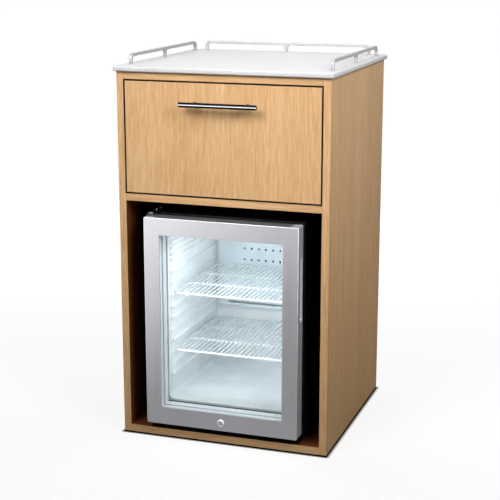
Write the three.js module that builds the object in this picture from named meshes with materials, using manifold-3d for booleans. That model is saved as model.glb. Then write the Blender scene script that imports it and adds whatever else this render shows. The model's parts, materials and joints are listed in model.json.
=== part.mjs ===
// Hotel minibar cabinet: an oak carcass with a drawer over a glass-door refrigerator, under a white
// worktop with gallery rails.
// Millimetres, +Z up, front to -Y. The origin is the centre of the footprint, on the floor.

import * as THREE from 'three';
import { mergeVertices } from 'three/addons/utils/BufferGeometryUtils.js';
import Module from 'manifold-3d';

// Gaps between pieces
const SEAT = 0.1;
const RUNNING_GAP = 0.4;
const PIN_GAP = 0.3;

// Refrigerator case, which sets the size of the bay around it
const FRIDGE_WIDTH = 384;
const CASE_HEIGHT = 523;
const CASE_DEPTH = 400;
const CASE_SHEET = 1.5;
const RUNNER_HEIGHT = 12;
const RUNNER_WIDTH = 24;
const RUNNER_INSET = 22;
const RUNNER_SETBACK = 60;
const RUNNER_CHAMFER = 3;

// Refrigerator walls and liner
const WALL_SIDE = 40;
const WALL_TOP = 28;
const WALL_BOTTOM = 55;
const WALL_BACK = 55;
const LINER_SHEET = 2;
const LINER_CORNER = 12;

// Shelf guides on the liner's side walls
const GUIDE_SHEET = 1.5;
const GUIDE_MARGIN = 14;
const RIB_DEPTH = 7;
const RIB_HEIGHT = 8;
const RIB_TIP = 4;
const RIB_PITCH = 29;
const RIB_START = 57;
const RIB_COUNT = 10;
const FINE_RIB_COUNT = 4;
const FINE_RIB_PITCH = 15;

// Wire shelves, each on the rib of that number
const SHELF_RIBS = { lower_shelf: 2, upper_shelf: 7 };
const SHELF_FRAME_WIRE = 5;
const SHELF_WIRE = 3;
const SHELF_PITCH = 12;
const SHELF_BARS = 3;
const SHELF_SIDE_GAP = 2;
const SHELF_FRONT_GAP = 16;
const SHELF_REAR_GAP = 10;
const SHELF_WELD = 0.6;

// Air cover on the rear wall, and the two heat sinks joined through that wall
const COVER_SIDE_GAP = 9;
const COVER_WIDTH = FRIDGE_WIDTH - 2 * (WALL_SIDE + COVER_SIDE_GAP);
const COVER_HEIGHT = 288;
const COVER_DEPTH = 16;
const COVER_SHEET = 2;
const COVER_CORNER = 6;
const COVER_HOLE = 6;
const COVER_HOLE_COLUMNS = 8;
const COVER_HOLE_PITCH = 19.7;
const COVER_HOLE_DROP = 127;
const COVER_ROW_PITCH = 30;
const COVER_SLOT_WIDTH = 228;
const COVER_SLOT_HEIGHT = 5;
const COVER_SLOT_RISE = 10;
const SINK_DROP = 166.5;
const SINK_WIDTH = 160;
const SINK_HEIGHT = 150;
const SINK_BASE = 3;
const SINK_FINS = 13;
const SINK_FIN = 2;
const COLD_FIN_DEPTH = 9;
const HOT_FIN_DEPTH = 42;
const NECK_SIZE = 60;

// Interior lamp
const LAMP_WIDTH = 90;
const LAMP_DEPTH = 18;
const LAMP_HEIGHT = 7;
const LAMP_SETBACK = 24;
const LAMP_CHAMFER = 3;

// Refrigerator door, set in from the bottom and the top of the case
const DOOR_PROUD = 15;
const DOOR_RISE = 5;
const DOOR_DROP = 2;
const DOOR_HEIGHT = CASE_HEIGHT - DOOR_RISE - DOOR_DROP;
const DOOR_THICKNESS = 42;
const DOOR_CORNER = 4;
const DOOR_EDGE = 1.5;
const DOOR_SHEET = 1.5;
const DOOR_RETURN = 38;
const FRAME_SIDE = 38.5;
const FRAME_TOP = 42;
const FRAME_BOTTOM = 44;
const GLASS = 4;
const GLASS_LAP = 8;
const GLASS_FIT = 0.5;
const GLAZING_GAP = 12;
const CORE_LAP = 10;
const SEAL_GAP = 10;
const SEAL_WIDTH = 12;
const SEAL_SIDE = 15;
const SEAL_TOP = 12;
const SEAL_BOTTOM = 34;

// Finger grip let into the right edge of the door
const GRIP_LENGTH = 155;
const GRIP_WIDTH = 18;
const GRIP_DEPTH = 16;
const GRIP_SHEET = 1.5;
const GRIP_CORNER = 5;
const GRIP_RISE = 364;
const GRIP_FROM_BACK = 17;

// Door hinges
const HINGE_INSET = 10;
const HINGE_FROM_BACK = 17;
const HINGE_PLATE = 3;
const HINGE_PLATE_WIDTH = 22;
const HINGE_PLATE_REACH = 45;
const HINGE_PIN = 7;
const HINGE_PIN_REACH = 18;
const HINGE_HEAD = 12;
const HINGE_HEAD_HEIGHT = 2;

// Door lock and its keeper
const LOCK_RISE = 20;
const LOCK_ROSE = 19;
const LOCK_ROSE_PROUD = 2;
const LOCK_ROSE_CHAMFER = 1.4;
const LOCK_BARREL = 15;
const LOCK_PLUG = 10.5;
const LOCK_KEYWAY = 1.6;
const LOCK_KEYWAY_HEIGHT = 6.5;
const LOCK_KEYWAY_DEPTH = 4;
const CAM_SHEET = 2;
const CAM_FROM_DOOR = 4;
const CAM_LENGTH = 16;
const CAM_WIDTH = 8;
const CAM_HUB = 14;
const KEEPER_SHEET = 1.5;
const KEEPER_WIDTH = 22;
const KEEPER_DOOR_GAP = 1.3;
const KEEPER_TIP_GAP = 1.5;
const KEEPER_LIP = 8;

// Carcass around the bay
const BAY_SIDE_GAP = 50;
const BAY_TOP_GAP = 32;
const BAY_REAR_GAP = 13;
const BOARD = 18;
const BACK_BOARD = 6;
const BACK_INSET = 14;
const BACK_GROOVE = 7;
const VENT_WIDTH = 280;
const VENT_HEIGHT = 240;
const VENT_CORNER = 20;
const VENT_RISE = 212;
const INTAKE_HEIGHT = 60;
const INTAKE_RISE = 30;
const GLIDE_HEIGHT = 3;
const GLIDE_DIAMETER = 28;
const GLIDE_EDGE = 1;
const GLIDE_NAIL = 5;
const GLIDE_NAIL_LENGTH = 10;
const GLIDE_INSET = 30;

// Worktop and gallery rails
const WORKTOP_THICKNESS = 12;
const WORKTOP_OVERHANG = 8;
const WORKTOP_CORNER = 8;
const WORKTOP_EDGE = 3;
const RAIL_HEIGHT = 25;
const RAIL_BAR = 8;
const RAIL_BEND = 14;
const RAIL_FILLET = 8;
const RAIL_INSET = 21;
const RAIL_FRONT_MARGIN = 60;
const RAIL_CORNER_MARGIN = 42;

// Drawer, its slides and its handle
const DRAWER_OPENING = 270;
const DRAWER_GAP = 2.5;
const BOX_BOARD = 12;
const BOX_HEIGHT = 200;
const BOX_RISE = 30;
const BOX_REAR_GAP = 27;
const BOX_BOTTOM = 6;
const BOX_BOTTOM_RISE = 12;
const BOX_GROOVE = 6;
const SLIDE_THICKNESS = 12.7;
const SLIDE_HEIGHT = 45;
const SLIDE_GAUGE = 1.2;
const SLIDE_CHANNEL = 10.5;
const SLIDE_LIP = 4.2;
const HANDLE_LENGTH = 188;
const HANDLE_DIAMETER = 12;
const HANDLE_CHAMFER = 1;
const HANDLE_PROJECTION = 26;
const HANDLE_RISE = 219;
const HANDLE_POSTS = 128;
const HANDLE_POST = 8;
const HANDLE_STUD = 4;
const HANDLE_STUD_LENGTH = 13;

// Facets on round stretches
const ROUND = 20;
const SMALL_ROUND = 12;
const WIRE_ROUND = 6;
const HOLE_ROUND = 8;
const ARC = 5;

// Places worked out from the sizes above. The front plane of the carcass is y = 0 and the floor z = 0.
const bayFloor = GLIDE_HEIGHT + BOARD;
const dividerUnderside = bayFloor + RUNNER_HEIGHT + CASE_HEIGHT + BAY_TOP_GAP;
const drawerFloor = dividerUnderside + BOARD;
const drawerCeiling = drawerFloor + DRAWER_OPENING;
const carcassTop = drawerCeiling + BOARD;
const worktopBottom = carcassTop + SEAT;
const worktopTop = worktopBottom + WORKTOP_THICKNESS;
const innerHalf = FRIDGE_WIDTH / 2 + BAY_SIDE_GAP;
const outerHalf = innerHalf + BOARD;
const caseFront = DOOR_THICKNESS + SEAL_GAP - DOOR_PROUD;
const hotSinkDepth = SINK_BASE + HOT_FIN_DEPTH;
const backFront = caseFront + CASE_DEPTH + hotSinkDepth + BAY_REAR_GAP;
const carcassDepth = backFront + BACK_BOARD + BACK_INSET;
const frontReach = HANDLE_PROJECTION + HANDLE_DIAMETER / 2;
const backReach = carcassDepth + WORKTOP_OVERHANG;

const wasm = await Module();
wasm.setup();

// Finishes
const finish = (color, roughness, metalness = 0) =>
  new THREE.MeshStandardMaterial({ color, roughness, metalness });
const oak = finish(0xd0a472, 0.5);
const oakInside = finish(0xc9a57c, 0.6);
const hardboard = finish(0x9a7c58, 0.8);
const whiteSlab = finish(0xf0f1f2, 0.35);
const satinSteel = finish(0xc9cbcd, 0.35, 1);
const zincSteel = finish(0xaab0b4, 0.4, 1);
const darkChrome = finish(0x55565a, 0.2, 1);
const blackPaint = finish(0x101012, 0.5);
const blackPlastic = finish(0x18181a, 0.6);
const greyPlastic = finish(0x8d9094, 0.5);
const blackRubber = finish(0x161616, 0.8);
const whitePlastic = finish(0xe6edf0, 0.45);
const whiteCoat = finish(0xf2f4f5, 0.4);
const foam = finish(0xe8dcae, 0.9);
const aluminium = finish(0xb9bdc0, 0.45, 1);
const lampLens = finish(0xfbfdff, 0.3);
const clearGlass = finish(0xdfeaee, 0.05);
clearGlass.transparent = true;
clearGlass.opacity = 0.3;

// Scene helpers
function piece(name, geometry, material, [x, y, z] = [0, 0, 0]) {
  const mesh = new THREE.Mesh(geometry, material);
  mesh.name = name;
  mesh.position.set(x, y, z);
  return mesh;
}

function assembly(position, ...members) {
  const group = new THREE.Group();
  group.position.set(...position);
  group.add(...members);
  return group;
}

// Solids: closed geometry in and out of the boolean library
function solid(geometry) {
  const bare = geometry.clone();
  bare.deleteAttribute('normal');
  bare.deleteAttribute('uv');
  const merged = mergeVertices(bare);
  const vertProperties = Float32Array.from(merged.attributes.position.array);
  const triVerts = Uint32Array.from(merged.index.array);
  return new wasm.Manifold(new wasm.Mesh({ numProp: 3, vertProperties, triVerts }));
}

function geometryOf(manifold) {
  const mesh = manifold.getMesh();
  const geometry = new THREE.BufferGeometry();
  geometry.setAttribute('position', new THREE.BufferAttribute(mesh.vertProperties, 3));
  geometry.setIndex(new THREE.BufferAttribute(mesh.triVerts, 1));
  geometry.computeVertexNormals();
  return geometry;
}

const cut = (base, ...tools) =>
  geometryOf(tools.map(solid).reduce((body, tool) => body.subtract(tool), solid(base)));
const join = (...bodies) =>
  geometryOf(bodies.map(solid).reduce((body, added) => body.add(added)));

// Primitive forms, placed by the span that they fill along each axis
const about = (half, centre = 0) => [centre - half, centre + half];

function block([x0, x1], [y0, y1], [z0, z1]) {
  return new THREE.BoxGeometry(x1 - x0, y1 - y0, z1 - z0)
    .translate((x0 + x1) / 2, (y0 + y1) / 2, (z0 + z1) / 2);
}

function rodY(diameter, [y0, y1], segments) {
  const rod = new THREE.CylinderGeometry(diameter / 2, diameter / 2, y1 - y0, segments);
  return rod.translate(0, (y0 + y1) / 2, 0);
}

const rodX = (diameter, [x0, x1], segments) => rodY(diameter, [-x1, -x0], segments).rotateZ(Math.PI / 2);
const rodZ = (diameter, [z0, z1], segments) => rodY(diameter, [z0, z1], segments).rotateX(Math.PI / 2);

// A profile of [radius, distance] points turned about Y or about Z, with the solid on its left
function turnedY(profile, segments) {
  const points = profile.map(([radius, distance]) => new THREE.Vector2(radius, distance));
  return new THREE.LatheGeometry(points, segments);
}

const turnedZ = (profile, segments) => turnedY(profile, segments).rotateX(Math.PI / 2);

function polygon(points) {
  return new THREE.Shape(points.map(([u, v]) => new THREE.Vector2(u, v)));
}

function roundedRectangle([u0, u1], [v0, v1], radius) {
  const shape = new THREE.Shape();
  shape.absarc(u1 - radius, v0 + radius, radius, -Math.PI / 2, 0);
  shape.absarc(u1 - radius, v1 - radius, radius, 0, Math.PI / 2);
  shape.absarc(u0 + radius, v1 - radius, radius, Math.PI / 2, Math.PI);
  shape.absarc(u0 + radius, v0 + radius, radius, Math.PI, 1.5 * Math.PI);
  shape.closePath();
  return shape;
}

function pushed(shape, depth, edge = 0) {
  return new THREE.ExtrudeGeometry(shape, {
    depth: depth - 2 * edge,
    curveSegments: ARC,
    bevelEnabled: edge > 0,
    bevelThickness: edge,
    bevelSize: edge,
    bevelOffset: -edge,
    bevelSegments: 3,
  }).translate(0, 0, edge);
}

// A shape drawn in X and Y, in X and Z, or in Y and Z, pushed along the third axis
const alongZ = (shape, [z0, z1], edge) => pushed(shape, z1 - z0, edge).translate(0, 0, z0);
const alongY = (shape, [y0, y1], edge) =>
  pushed(shape, y1 - y0, edge).rotateX(Math.PI / 2).translate(0, y1, 0);
const alongX = (shape, [x0, x1]) =>
  pushed(shape, x1 - x0).rotateX(Math.PI / 2).rotateZ(Math.PI / 2).translate(x0, 0, 0);

function sidePanel(side) {
  const grooveFront = backFront - SEAT;
  const grooveBack = backFront + BACK_BOARD + SEAT;
  const outline = polygon([
    [side * outerHalf, 0],
    [side * innerHalf, 0],
    [side * innerHalf, grooveFront],
    [side * (innerHalf + BACK_GROOVE), grooveFront],
    [side * (innerHalf + BACK_GROOVE), grooveBack],
    [side * innerHalf, grooveBack],
    [side * innerHalf, carcassDepth],
    [side * outerHalf, carcassDepth],
  ]);
  return alongZ(outline, [GLIDE_HEIGHT, carcassTop]);
}

function levelBoard(bottom) {
  return block(about(innerHalf - SEAT), [0, backFront - SEAT], [bottom, bottom + BOARD]);
}

function backPanel() {
  const half = innerHalf + BACK_GROOVE - SEAT;
  const outline = roundedRectangle(about(half), [GLIDE_HEIGHT, carcassTop], SEAT);
  const vent = bayFloor + VENT_RISE;
  const intake = bayFloor + INTAKE_RISE;
  outline.holes.push(
    roundedRectangle(about(VENT_WIDTH / 2), [vent, vent + VENT_HEIGHT], VENT_CORNER),
    roundedRectangle(about(VENT_WIDTH / 2), [intake, intake + INTAKE_HEIGHT], VENT_CORNER),
  );
  return alongY(outline, [backFront, backFront + BACK_BOARD]);
}

// Nail glides under the four corners of the bottom board
const glideX = innerHalf - GLIDE_INSET;
const glideSpots = {
  front_left_glide: [-glideX, GLIDE_INSET],
  front_right_glide: [glideX, GLIDE_INSET],
  rear_left_glide: [-glideX, backFront - GLIDE_INSET],
  rear_right_glide: [glideX, backFront - GLIDE_INSET],
};

function glide() {
  const nailTop = GLIDE_HEIGHT + GLIDE_NAIL_LENGTH;
  const foot = GLIDE_DIAMETER / 2;
  return turnedZ([
    [0, 0],
    [foot - GLIDE_EDGE, 0],
    [foot, GLIDE_EDGE],
    [foot, GLIDE_HEIGHT - SEAT],
    [GLIDE_NAIL / 2, GLIDE_HEIGHT - SEAT],
    [GLIDE_NAIL / 2, nailTop - GLIDE_EDGE],
    [0, nailTop],
  ], ROUND);
}

function bottomPanel() {
  const holeTop = GLIDE_HEIGHT + GLIDE_NAIL_LENGTH + PIN_GAP;
  const holes = Object.values(glideSpots).map(([x, y]) =>
    rodZ(GLIDE_NAIL + 2 * PIN_GAP, [0, holeTop], SMALL_ROUND).translate(x, y, 0));
  return cut(levelBoard(GLIDE_HEIGHT), ...holes);
}

function carcass() {
  const glides = Object.entries(glideSpots).map(([name, [x, y]]) =>
    piece(name, glide(), blackPlastic, [x, y, 0]));
  return assembly([0, 0, 0],
    piece('left_side_panel', sidePanel(-1), oak),
    piece('right_side_panel', sidePanel(1), oak),
    piece('bottom_panel', bottomPanel(), oak),
    piece('divider_shelf', levelBoard(dividerUnderside), oak),
    piece('top_panel', levelBoard(drawerCeiling), oak),
    piece('back_panel', backPanel(), hardboard),
    ...glides,
  );
}

// One rail seen from its side: a bar bent down at both ends onto feet, with a filleted post halfway
function railProfile(length) {
  const underside = RAIL_HEIGHT - RAIL_BAR;
  const middle = length / 2;
  const feet = [
    [length - RAIL_BAR, middle + RAIL_BAR / 2],
    [middle - RAIL_BAR / 2, RAIL_BAR],
  ];
  const shape = new THREE.Shape();
  shape.moveTo(0, 0);
  shape.absarc(RAIL_BEND, RAIL_HEIGHT - RAIL_BEND, RAIL_BEND, Math.PI, Math.PI / 2, true);
  shape.absarc(length - RAIL_BEND, RAIL_HEIGHT - RAIL_BEND, RAIL_BEND, Math.PI / 2, 0, true);
  shape.lineTo(length, 0);
  for (const [from, to] of feet) {
    shape.lineTo(from, 0);
    shape.absarc(from - RAIL_FILLET, underside - RAIL_FILLET, RAIL_FILLET, 0, Math.PI / 2);
    shape.absarc(to + RAIL_FILLET, underside - RAIL_FILLET, RAIL_FILLET, Math.PI / 2, Math.PI);
    shape.lineTo(to, 0);
  }
  shape.closePath();
  return shape;
}

function worktop() {
  const halfWidth = outerHalf + WORKTOP_OVERHANG;
  const front = -WORKTOP_OVERHANG;
  const outline = roundedRectangle(about(halfWidth), [front, backReach], WORKTOP_CORNER);
  const slab = alongZ(outline, [worktopBottom, worktopTop], WORKTOP_EDGE);

  const railFoot = worktopTop + SEAT;
  const railX = halfWidth - RAIL_INSET;
  const sideStart = front + RAIL_FRONT_MARGIN;
  const sideLength = backReach - RAIL_CORNER_MARGIN - sideStart;
  const rearHalf = halfWidth - RAIL_CORNER_MARGIN;
  const sideRail = alongX(railProfile(sideLength), about(RAIL_BAR / 2));
  const rearRail = alongY(railProfile(2 * rearHalf), about(RAIL_BAR / 2));
  return assembly([0, 0, 0],
    piece('worktop', slab, whiteSlab),
    piece('left_rail', sideRail, satinSteel, [-railX, sideStart, railFoot]),
    piece('right_rail', sideRail, satinSteel, [railX, sideStart, railFoot]),
    piece('rear_rail', rearRail, satinSteel, [-rearHalf, backReach - RAIL_INSET, railFoot]),
  );
}

// Drawer slide sections: u runs from the carcass side inwards, v up from the slide's centre line
function lippedChannel(start, end, half) {
  return [
    [start, -half],
    [end, -half],
    [end, SLIDE_LIP - half],
    [end - SLIDE_GAUGE, SLIDE_LIP - half],
    [end - SLIDE_GAUGE, SLIDE_GAUGE - half],
    [start + SLIDE_GAUGE, SLIDE_GAUGE - half],
    [start + SLIDE_GAUGE, half - SLIDE_GAUGE],
    [end - SLIDE_GAUGE, half - SLIDE_GAUGE],
    [end - SLIDE_GAUGE, half - SLIDE_LIP],
    [end, half - SLIDE_LIP],
    [end, half],
    [start, half],
  ];
}

function hatSection(brim, crown, brimHalf, crownHalf) {
  return [
    [crown, -crownHalf],
    [brim + SLIDE_GAUGE, -crownHalf],
    [brim + SLIDE_GAUGE, -brimHalf],
    [brim, -brimHalf],
    [brim, SLIDE_GAUGE - crownHalf],
    [crown - SLIDE_GAUGE, SLIDE_GAUGE - crownHalf],
    [crown - SLIDE_GAUGE, crownHalf - SLIDE_GAUGE],
    [brim, crownHalf - SLIDE_GAUGE],
    [brim, brimHalf],
    [brim + SLIDE_GAUGE, brimHalf],
    [brim + SLIDE_GAUGE, crownHalf],
    [crown, crownHalf],
  ];
}

// Each member nests in the one before it, one gauge and one running gap further in
const slideStep = SLIDE_GAUGE + RUNNING_GAP;
const slideHalf = SLIDE_HEIGHT / 2;
const slideSections = {
  outer: lippedChannel(0, SLIDE_CHANNEL, slideHalf),
  middle: lippedChannel(slideStep, SLIDE_CHANNEL - slideStep, slideHalf - slideStep),
  inner: hatSection(
    2 * slideStep,
    SLIDE_THICKNESS,
    slideHalf - 2 * slideStep,
    slideHalf - slideStep - SLIDE_LIP - RUNNING_GAP,
  ),
};

const boxFront = BOARD + SEAT;
const boxBack = backFront - BOX_REAR_GAP;
const boxHalf = innerHalf - SLIDE_THICKNESS - 2 * SEAT;

function slides() {
  const members = [];
  for (const [sideName, side] of [['left', -1], ['right', 1]]) {
    for (const [memberName, section] of Object.entries(slideSections)) {
      const outline = polygon(section.map(([u, v]) => [side * (innerHalf - SEAT - u), v]));
      const member = alongY(outline, [boxFront, boxBack]);
      members.push(piece(`${sideName}_slide_${memberName}`, member, zincSteel));
    }
  }
  return assembly([0, 0, drawerFloor + BOX_RISE + BOX_HEIGHT / 2], ...members);
}

// Drawer box boards with a groove that holds the bottom: u runs from the outer face inwards
function groovedBoard() {
  const grooveFloor = BOX_BOTTOM_RISE - SEAT;
  const grooveTop = BOX_BOTTOM_RISE + BOX_BOTTOM + SEAT;
  return [
    [0, 0],
    [BOX_BOARD, 0],
    [BOX_BOARD, grooveFloor],
    [BOX_BOARD - BOX_GROOVE, grooveFloor],
    [BOX_BOARD - BOX_GROOVE, grooveTop],
    [BOX_BOARD, grooveTop],
    [BOX_BOARD, BOX_HEIGHT],
    [0, BOX_HEIGHT],
  ];
}

function drawerBox() {
  const insideHalf = boxHalf - BOX_BOARD;
  const boardSpan = about(insideHalf - SEAT);
  const sideBoard = (side) =>
    alongY(polygon(groovedBoard().map(([u, v]) => [side * (boxHalf - u), v])), [boxFront, boxBack]);
  const innerFront = alongX(polygon(groovedBoard().map(([u, v]) => [boxFront + u, v])), boardSpan);
  const bottomTop = BOX_BOTTOM_RISE + BOX_BOTTOM;
  const back = block(boardSpan, [boxBack - BOX_BOARD, boxBack], [bottomTop + SEAT, BOX_HEIGHT]);
  const bottom = block(
    about(insideHalf + BOX_GROOVE - SEAT),
    [boxFront + BOX_BOARD - BOX_GROOVE + SEAT, boxBack],
    [BOX_BOTTOM_RISE, bottomTop],
  );
  return assembly([0, 0, BOX_RISE],
    piece('drawer_left_side', sideBoard(-1), oakInside),
    piece('drawer_right_side', sideBoard(1), oakInside),
    piece('drawer_inner_front', innerFront, oakInside),
    piece('drawer_back', back, oakInside),
    piece('drawer_bottom', bottom, oakInside),
  );
}

const handlePosts = { handle_left_post: -HANDLE_POSTS / 2, handle_right_post: HANDLE_POSTS / 2 };

function drawerFront() {
  const upright = [DRAWER_GAP, DRAWER_OPENING - DRAWER_GAP];
  const front = block(about(innerHalf - DRAWER_GAP), [0, BOARD], upright);
  const holeSpan = [-PIN_GAP, HANDLE_STUD_LENGTH + PIN_GAP];
  const holes = Object.values(handlePosts).map((x) =>
    rodY(HANDLE_STUD + 2 * PIN_GAP, holeSpan, HOLE_ROUND).translate(x, 0, HANDLE_RISE));
  return cut(front, ...holes);
}

function handle() {
  const half = HANDLE_LENGTH / 2;
  const radius = HANDLE_DIAMETER / 2;
  const bar = turnedZ([
    [0, -half],
    [radius - HANDLE_CHAMFER, -half],
    [radius, HANDLE_CHAMFER - half],
    [radius, half - HANDLE_CHAMFER],
    [radius - HANDLE_CHAMFER, half],
    [0, half],
  ], ROUND).rotateY(Math.PI / 2);
  const cope = rodX(HANDLE_DIAMETER + 2 * SEAT, about(HANDLE_POST), ROUND);
  cope.translate(0, -HANDLE_PROJECTION, 0);
  const post = join(
    cut(rodY(HANDLE_POST, [-HANDLE_PROJECTION, -SEAT], SMALL_ROUND), cope),
    rodY(HANDLE_STUD, [-HANDLE_STUD, HANDLE_STUD_LENGTH], HOLE_ROUND),
  );
  const posts = Object.entries(handlePosts).map(([name, x]) => piece(name, post, darkChrome, [x, 0, 0]));
  return assembly([0, 0, HANDLE_RISE],
    piece('handle_bar', bar, darkChrome, [0, -HANDLE_PROJECTION, 0]),
    ...posts,
  );
}

function drawer() {
  return assembly([0, 0, drawerFloor],
    piece('drawer_front', drawerFront(), oak),
    drawerBox(),
    handle(),
  );
}

// Refrigerator: y = 0 on the front of the case and z = 0 on the floor of the bay
const caseHalf = FRIDGE_WIDTH / 2;
const caseBottom = RUNNER_HEIGHT;
const caseTop = caseBottom + CASE_HEIGHT;
const roomHalf = caseHalf - WALL_SIDE;
const roomFloor = caseBottom + WALL_BOTTOM;
const roomCeiling = caseTop - WALL_TOP;
const roomDepth = CASE_DEPTH - WALL_BACK;
const shellFront = LINER_SHEET + SEAT;
const packHalf = caseHalf - CASE_SHEET - SEAT;
const sinkCentre = roomCeiling - SINK_DROP;
const neckBlock = (half, span) => block(about(half), span, about(half, sinkCentre));
const neckHole = (span) => neckBlock(NECK_SIZE / 2 + PIN_GAP, span);

// The inside of the refrigerator, grown outwards by the given amount
function room(grow, [y0, y1]) {
  const corner = LINER_CORNER + grow;
  const outline = roundedRectangle(about(roomHalf + grow), [roomFloor - grow, roomCeiling + grow], corner);
  return alongY(outline, [y0, y1]);
}

function liner() {
  const flange = block(about(caseHalf), [0, LINER_SHEET], [caseBottom, caseTop]);
  const tub = room(LINER_SHEET, [0, roomDepth + LINER_SHEET]);
  const hollow = room(0, [-LINER_SHEET, roomDepth]);
  return cut(join(flange, tub), hollow, neckHole([roomDepth - LINER_SHEET, CASE_DEPTH]));
}

function caseWrap() {
  const inside = caseHalf - CASE_SHEET;
  const outline = polygon([
    [-caseHalf, caseBottom],
    [-inside, caseBottom],
    [-inside, caseTop - CASE_SHEET],
    [inside, caseTop - CASE_SHEET],
    [inside, caseBottom],
    [caseHalf, caseBottom],
    [caseHalf, caseTop],
    [-caseHalf, caseTop],
  ]);
  return alongY(outline, [shellFront, CASE_DEPTH]);
}

function casePanels() {
  const baseTop = caseBottom + CASE_SHEET;
  const upright = [baseTop + SEAT, caseTop - CASE_SHEET - SEAT];
  const backStart = CASE_DEPTH - CASE_SHEET;
  const back = block(about(packHalf), [backStart, CASE_DEPTH], upright);
  const pack = block(about(packHalf), [shellFront, backStart - SEAT], upright);
  const cavity = room(LINER_SHEET + SEAT, [0, roomDepth + LINER_SHEET + SEAT]);
  return [
    piece('case_base', block(about(packHalf), [shellFront, CASE_DEPTH], [caseBottom, baseTop]), blackPaint),
    piece('case_back', cut(back, neckHole([0, 2 * CASE_DEPTH])), blackPaint),
    piece('insulation', cut(pack, cavity, neckHole([0, CASE_DEPTH])), foam),
  ];
}

function runner() {
  const half = RUNNER_WIDTH / 2;
  const outline = polygon([
    [RUNNER_CHAMFER - half, 0],
    [half - RUNNER_CHAMFER, 0],
    [half, RUNNER_CHAMFER],
    [half, RUNNER_HEIGHT - 2 * SEAT],
    [-half, RUNNER_HEIGHT - 2 * SEAT],
    [-half, RUNNER_CHAMFER],
  ]);
  return alongY(outline, [RUNNER_SETBACK, CASE_DEPTH - RUNNER_SETBACK]);
}

// Shelf guide: a ribbed panel on a side wall, as many evenly spaced ribs as its height takes
const guideBottom = roomFloor + GUIDE_MARGIN;
const guideTop = roomCeiling - GUIDE_MARGIN;
const guideHalf = roomHalf - SEAT;
const ribFace = guideHalf - GUIDE_SHEET;
const coverFront = roomDepth - SEAT - COVER_DEPTH;
const ribHeights = [];
for (let rib = 0; rib < RIB_COUNT; rib += 1) {
  ribHeights.push(roomFloor + RIB_START + rib * RIB_PITCH);
}
for (let rib = 1; rib <= FINE_RIB_COUNT; rib += 1) {
  ribHeights.push(ribHeights[RIB_COUNT - 1] + RIB_PITCH / 2 + rib * FINE_RIB_PITCH);
}

function shelfGuide(side) {
  const fits = ribHeights.filter((height) => height + RIB_HEIGHT < guideTop);
  const outline = [[guideHalf, guideTop], [guideHalf, guideBottom], [ribFace, guideBottom]];
  for (const height of fits) {
    outline.push(
      [ribFace, height - RIB_HEIGHT / 2],
      [ribFace - RIB_DEPTH, height + RIB_HEIGHT / 2 - RIB_TIP],
      [ribFace - RIB_DEPTH, height + RIB_HEIGHT / 2],
      [ribFace, height + RIB_HEIGHT / 2],
    );
  }
  outline.push([ribFace, guideTop]);
  const panel = polygon(outline.map(([u, v]) => [side * u, v]));
  return alongY(panel, [GUIDE_MARGIN, coverFront - GUIDE_MARGIN]);
}

// Wire shelf: a frame of thick wire, cross bars under it and fine wires from front to back on top
function wireShelf() {
  const half = ribFace - SHELF_SIDE_GAP;
  const front = SHELF_FRONT_GAP;
  const back = coverFront - SHELF_REAR_GAP;
  const frameHalf = half - SHELF_FRAME_WIRE / 2;
  const frameZ = SHELF_FRAME_WIRE / 2;
  const wireZ = SHELF_FRAME_WIRE + SHELF_WIRE / 2 - SHELF_WELD;
  const wires = [];
  for (const x of [-frameHalf, frameHalf]) {
    wires.push(rodY(SHELF_FRAME_WIRE, [front, back], WIRE_ROUND).translate(x, 0, frameZ));
  }
  const barStep = (back - front - SHELF_FRAME_WIRE) / (SHELF_BARS - 1);
  for (let bar = 0; bar < SHELF_BARS; bar += 1) {
    const y = front + SHELF_FRAME_WIRE / 2 + bar * barStep;
    wires.push(rodX(SHELF_FRAME_WIRE, about(frameHalf), WIRE_ROUND).translate(0, y, frameZ));
  }
  const count = Math.floor((2 * frameHalf - SHELF_PITCH) / SHELF_PITCH);
  for (let wire = 0; wire < count; wire += 1) {
    const x = (wire - (count - 1) / 2) * SHELF_PITCH;
    wires.push(rodY(SHELF_WIRE, [front, back], WIRE_ROUND).translate(x, 0, wireZ));
  }
  return join(...wires);
}

function shelves() {
  const shelf = wireShelf();
  return Object.entries(SHELF_RIBS).map(([name, rib]) =>
    piece(name, shelf, whiteCoat, [0, 0, ribHeights[rib] + RIB_HEIGHT / 2 + SEAT]));
}

// Air cover: an open-backed box with two rows of outlet holes and a return slot near its lower edge
function airCover() {
  const top = roomCeiling - SEAT;
  const bottom = top - COVER_HEIGHT;
  const half = COVER_WIDTH / 2;
  const back = roomDepth - SEAT;
  const outer = alongY(roundedRectangle(about(half), [bottom, top], COVER_CORNER), [coverFront, back]);
  const inner = block(
    about(half - COVER_SHEET),
    [coverFront + COVER_SHEET, back + COVER_SHEET],
    [bottom + COVER_SHEET, top - COVER_SHEET],
  );
  const through = [coverFront - COVER_SHEET, coverFront + 2 * COVER_SHEET];
  const slotFloor = bottom + COVER_SLOT_RISE;
  const slot = block(about(COVER_SLOT_WIDTH / 2), through, [slotFloor, slotFloor + COVER_SLOT_HEIGHT]);
  const cuts = [inner, slot];
  for (let column = 0; column < COVER_HOLE_COLUMNS; column += 1) {
    const x = (column - (COVER_HOLE_COLUMNS - 1) / 2) * COVER_HOLE_PITCH;
    for (const drop of [COVER_HOLE_DROP, COVER_HOLE_DROP + COVER_ROW_PITCH]) {
      cuts.push(rodY(COVER_HOLE, through, HOLE_ROUND).translate(x, 0, roomCeiling - drop));
    }
  }
  return cut(outer, ...cuts);
}

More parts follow.
